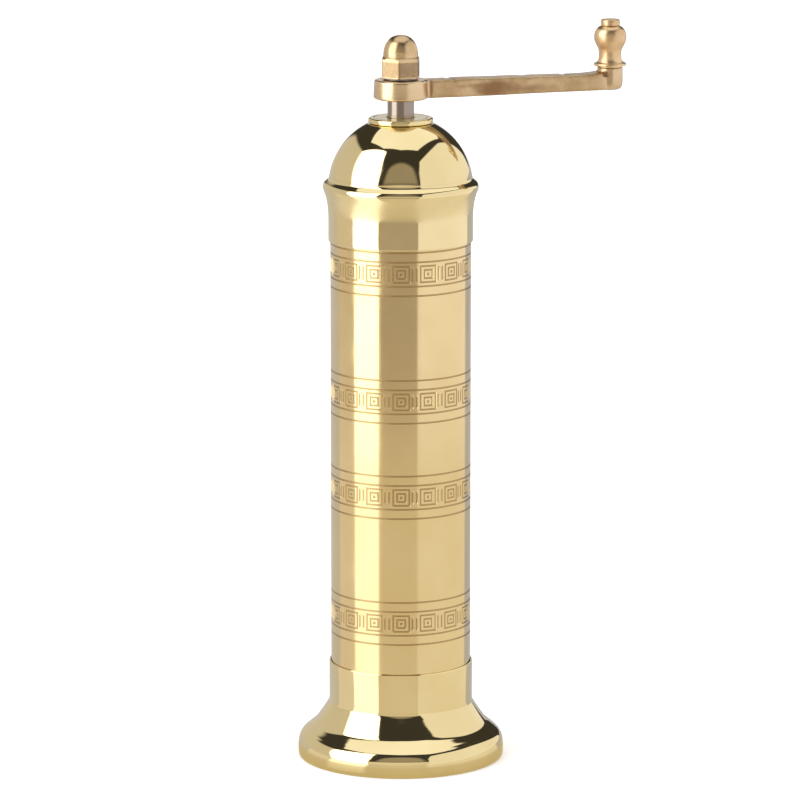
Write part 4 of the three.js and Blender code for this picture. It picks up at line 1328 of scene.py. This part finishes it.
def bridge_screw(node, side):
    bottom, top = heights(node)
    head = outer_radius(node)
    profile = rounded([(0, bottom), (head - 0.5, bottom + 0.05), (head, bottom + 0.6), (head, bottom + 1.4),
                       (1.05, bottom + 1.4), (1.05, top), (0, top)],
                      [0, 0.5, 0.3, 0.1, 0.1, 0.3, 0], 5, closed=False)
    worker = worker_of(mesh_of(node, turned(profile, 64, side * SCREW_PLACE), False))
    a = around(4)[None, :] + np.pi / 4
    slot_z = np.array([bottom - 1, bottom - 1, bottom + 0.5, bottom + 0.5])[:, None]
    slot = shaped(np.array([0, 1, 1, 0])[:, None] * math.sqrt(2), slot_z, a)
    slot = slot * np.array([0.22, 3.0, 1.0]) + np.array([side * SCREW_PLACE, 0, 0])
    mesh = combined(worker, cutter("slot", slot))
    bpy.data.objects.remove(worker)
    return finished(node + "_slotted", mesh, node)


thumb_screw()
bridge_screw("bridge_screw_1", 1)
bridge_screw("bridge_screw_2", -1)

# %% [markdown]
# ## What stays as it is
#
# The steel ball under the shaft, the pin through the cone and the collar's little screw are sealed
# inside and are right as they stand. They keep their own meshes and only get their finish.

# %% Finishes for the pieces that stay
for node_name, node in frame["nodes"].items():
    if node.hide_render:
        continue
    node.data.materials.clear()
    node.data.materials.append(FINISH_OF[SLOT_OF[node_name]])
    print("kept", node_name)

# %% [markdown]
# ## The studio
#
# Polished brass has hardly any look of its own: it shows the room. So the room is built first, and
# it is built for the reflections. It is dark, with seven patches of light: a hard white one on the
# left, a broad cream one on the right, one overhead, dim walls in front, behind and on the left,
# and a darker figure in front. Where they overlap, the later one in the list covers the earlier.
#
# Each panel is a patch of the sky with straight edges. In the world shader a straight edge is a
# plane through the viewer, and a direction is on its inner side where its dot product with the
# plane's normal is positive. A panel is the product of its edges. Angles are measured from the
# camera's side, positive to its right.

# %% The room's panels
CAMERA_TURN = -20.0
CAMERA_RISE = 11.15


def direction(azimuth, elevation):
    """(sin a cos e, -cos a cos e, sin e), where a counts from the camera's side, to its right."""
    a, e = math.radians(azimuth + CAMERA_TURN), math.radians(elevation)
    return np.array([math.sin(a) * math.cos(e), -math.cos(a) * math.cos(e), math.sin(e)])


def panel(tree, ray, corners, soft=0.02):
    """1 inside a patch of sky, given its corners (azimuth, elevation), and 0 outside it."""
    points = np.array([direction(*corner) for corner in corners])
    normals = np.cross(points, np.roll(points, -1, 0))
    normals /= np.linalg.norm(normals, axis=1, keepdims=True)
    normals *= np.sign(normals @ points.mean(0))[:, None]
    inside = 1.0
    for normal in normals:
        edge = tree.node("ShaderNodeVectorMath", {"operation": "DOT_PRODUCT"}, {0: ray, 1: tuple(normal)}, 1)
        inside = inside * tree.step(edge, -soft, soft)
    return inside


PANELS = [
    ("front wall, low", (0.78, 0.71, 0.59), 0.03, [(-75, -30), (-50, 10), (0, 12.5), (50, 10), (75, -30)]),
    ("front figure", (0.34, 0.30, 0.25), 0.06, [(-28, 12), (-22, 38), (-7, 47), (9, 47), (24, 38), (28, 12)]),
    ("left box", (2.5, 2.5, 2.45), 0.012,
     [(-82, -12), (-103, 40), (-80, 56), (-60, 62), (-45, 62), (-36, 30), (-38, -12)]),
    ("left wall", (0.64, 0.60, 0.55), 0.03, [(-80, -12), (-100, 42), (-150, 24), (-168, 2), (-168, -12)]),
    ("right box", (0.93, 0.90, 0.86), 0.012,
     [(31, -12), (33, 28), (50, 56), (66, 58.5), (120, 43.5), (148, 24), (156, -12)]),
    ("overhead box", (1.06, 1.04, 1.02), 0.012,
     [(-62, 64.5), (0, 69.5), (55, 62), (133, 40), (168, 32), (-165, 46), (-110, 54)]),
    ("back wall", (0.62, 0.62, 0.64), 0.04, [(170, -12), (172, 28), (-172, 28), (-170, -12)]),
]


def room():
    world = bpy.data.worlds.new("studio")
    bpy.context.scene.world = world
    world.use_nodes = True
    tree = Tree(world.node_tree)
    ray = tree.node("ShaderNodeTexCoord", output="Generated")
    light = colour(0.045, 0.042, 0.038)
    for _, shade, soft, corners in PANELS:
        light = tree.mix(panel(tree, ray, corners, soft), light, colour(*shade))
    seen = tree.node("ShaderNodeLightPath", output="Is Camera Ray")
    shown = tree.mix(seen, light, colour(1.0, 1.0, 1.0))
    background = tree.node("ShaderNodeBackground", {}, {"Color": shown})
    tree.node("ShaderNodeOutputWorld", {}, {"Surface": background})
    print("the room has", len(PANELS), "panels in", len(world.node_tree.nodes), "nodes")


room()

# %% [markdown]
# ### The table
#
# A white floor that is lit evenly would mirror in the brass as one flat white, and hide its form.
# In a studio the table's glossy top mirrors the panels in its turn. That second bounce is painted
# here on a card just under the floor: bright and dim sectors round the mill, which only reflected
# rays see. The floor itself is what the camera sees.

# %% The floor and the card under it
def disc(name, radius, height):
    mesh = bpy.data.meshes.new(name)
    rim = np.stack([radius * np.cos(around(96)), radius * np.sin(around(96)), np.full(96, height)], 1)
    mesh.from_pydata(rim.tolist(), [], [list(range(96))])
    piece = bpy.data.objects.new(name, mesh)
    bpy.context.scene.collection.objects.link(piece)
    return piece


def floor():
    piece = disc("floor", 12.0, 0.0)
    material = bpy.data.materials.new("floor_white")
    material.use_nodes = True
    tree = Tree(material.node_tree)
    cloud = tree.noise(tree.place(), 3.0)
    shade = tree.mix(cloud, colour(0.93, 0.93, 0.93), colour(0.90, 0.90, 0.90))
    shader = tree.node("ShaderNodeBsdfPrincipled", {}, {"Base Color": shade, "Roughness": 0.6})
    tree.node("ShaderNodeOutputMaterial", {}, {"Surface": shader})
    piece.data.materials.append(material)
    piece.visible_glossy = False


SECTORS = [
    (-186.0, -121.0, (0.60, 0.585, 0.61), (0.60, 0.585, 0.61)),
    (-121.0, -82.0, (0.78, 0.71, 0.66), (0.68, 0.61, 0.55)),
    (-82.0, -36.0, (1.55, 1.52, 1.45), (2.5, 2.5, 2.4)),
    (-36.0, 28.0, (0.70, 0.62, 0.50), (0.46, 0.40, 0.35)),
    (28.0, 133.0, (0.84, 0.78, 0.68), (0.97, 0.93, 0.93)),
    (133.0, 186.0, (0.50, 0.50, 0.56), (0.50, 0.50, 0.56)),
]


def past(tree, place, azimuth, soft=0.003):
    """1 on the right of the straight line that a mirror on the mill sends a view along.

    A wall that faces half of `azimuth` mirrors the camera's rays towards `azimuth`. The line
    starts on that wall, so the sectors meet at the mill's skin and not at its axis.
    """
    start = 0.025 * direction(azimuth / 2, 0)
    across = direction(azimuth + 90, 0)
    side = tree.node("ShaderNodeVectorMath", {"operation": "DOT_PRODUCT"}, {0: place, 1: tuple(across)}, 1)
    offset = float(start @ across)
    return tree.step(side, offset - soft, offset + soft)


def table_card():
    """Sectors round the mill, each with a shade near it and a shade far from it."""
    piece = disc("table_card", 11.0, -0.002)
    material = bpy.data.materials.new("table_mirror")
    material.use_nodes = True
    tree = Tree(material.node_tree)
    place = tree.place()
    distance = tree.node("ShaderNodeVectorMath", {"operation": "LENGTH"}, {0: place}, 1)
    far = tree.step(distance, 0.42, 0.72)
    light = colour(0.5, 0.5, 0.5)
    for start, end, near_shade, far_shade in SECTORS:
        inside = past(tree, place, start) * (1 - past(tree, place, end))
        light = tree.mix(inside, light, tree.mix(far, colour(*near_shade), colour(*far_shade)))
    # Close round the foot the card turns darker and yellower: painted shade where the foot meets the table,
    # and a painted reflection of the brass in the table.
    contact_shade_and_reflection = tree.step(distance, 0.075, 0.033)
    light = tree.mix(contact_shade_and_reflection, light, colour(0.60, 0.51, 0.33))
    shader = tree.node("ShaderNodeEmission", {}, {"Color": light})
    tree.node("ShaderNodeOutputMaterial", {}, {"Surface": shader})
    piece.data.materials.append(material)
    piece.visible_camera = False
    piece.visible_diffuse = False
    piece.visible_shadow = False
    piece.visible_transmission = False


floor()
table_card()

# %% [markdown]
# ### Light for the floor, and the camera
#
# The panels light the metal. One more lamp, as wide as the sky, brings the floor up to white and
# leaves a soft shade under the foot. It doesn't show in the metal. The camera is a long lens from
# 1.6 m away, a little above the mill, as for a catalogue. `SENSOR_PER_MM` is how many millimetres of
# the sensor one millimetre of the mill fills, and the lens follows from it and the distance.

# %% The lamp and the camera
LAMP_STRENGTH = 2.6
LAMP_WIDTH = 120.0


def lamp():
    light = bpy.data.lights.new("sky_lamp", "SUN")
    light.energy = LAMP_STRENGTH
    light.angle = math.radians(LAMP_WIDTH)
    lamp_object = bpy.data.objects.new("sky_lamp", light)
    lamp_object.rotation_euler = (math.radians(8), math.radians(-6), 0)
    lamp_object.visible_glossy = False
    bpy.context.scene.collection.objects.link(lamp_object)


CAMERA_DISTANCE = 1.624
AIM_HEIGHT = 0.115
SENSOR_WIDTH = 36.0
SENSOR_PER_MM = 0.1467
SHIFT_X = -0.000875
SHIFT_Y = -0.01325
NEAREST, FARTHEST = 0.05, 60.0


def camera():
    lens = bpy.data.cameras.new("lens")
    lens.sensor_width = SENSOR_WIDTH
    lens.lens = SENSOR_PER_MM * CAMERA_DISTANCE / MM
    lens.shift_x, lens.shift_y = SHIFT_X, SHIFT_Y
    lens.clip_start, lens.clip_end = NEAREST, FARTHEST
    body = bpy.data.objects.new("camera", lens)
    back = direction(0, CAMERA_RISE)
    body.location = np.array([0, 0, AIM_HEIGHT]) + CAMERA_DISTANCE * back
    body.rotation_euler = (math.radians(90 - CAMERA_RISE), 0, math.radians(CAMERA_TURN))
    bpy.context.scene.collection.objects.link(body)
    bpy.context.scene.camera = body
    print("lens", round(lens.lens, 1), "mm, camera at", [round(float(c), 3) for c in body.location])


lamp()
camera()
bpy.context.scene.view_settings.view_transform = "Standard"
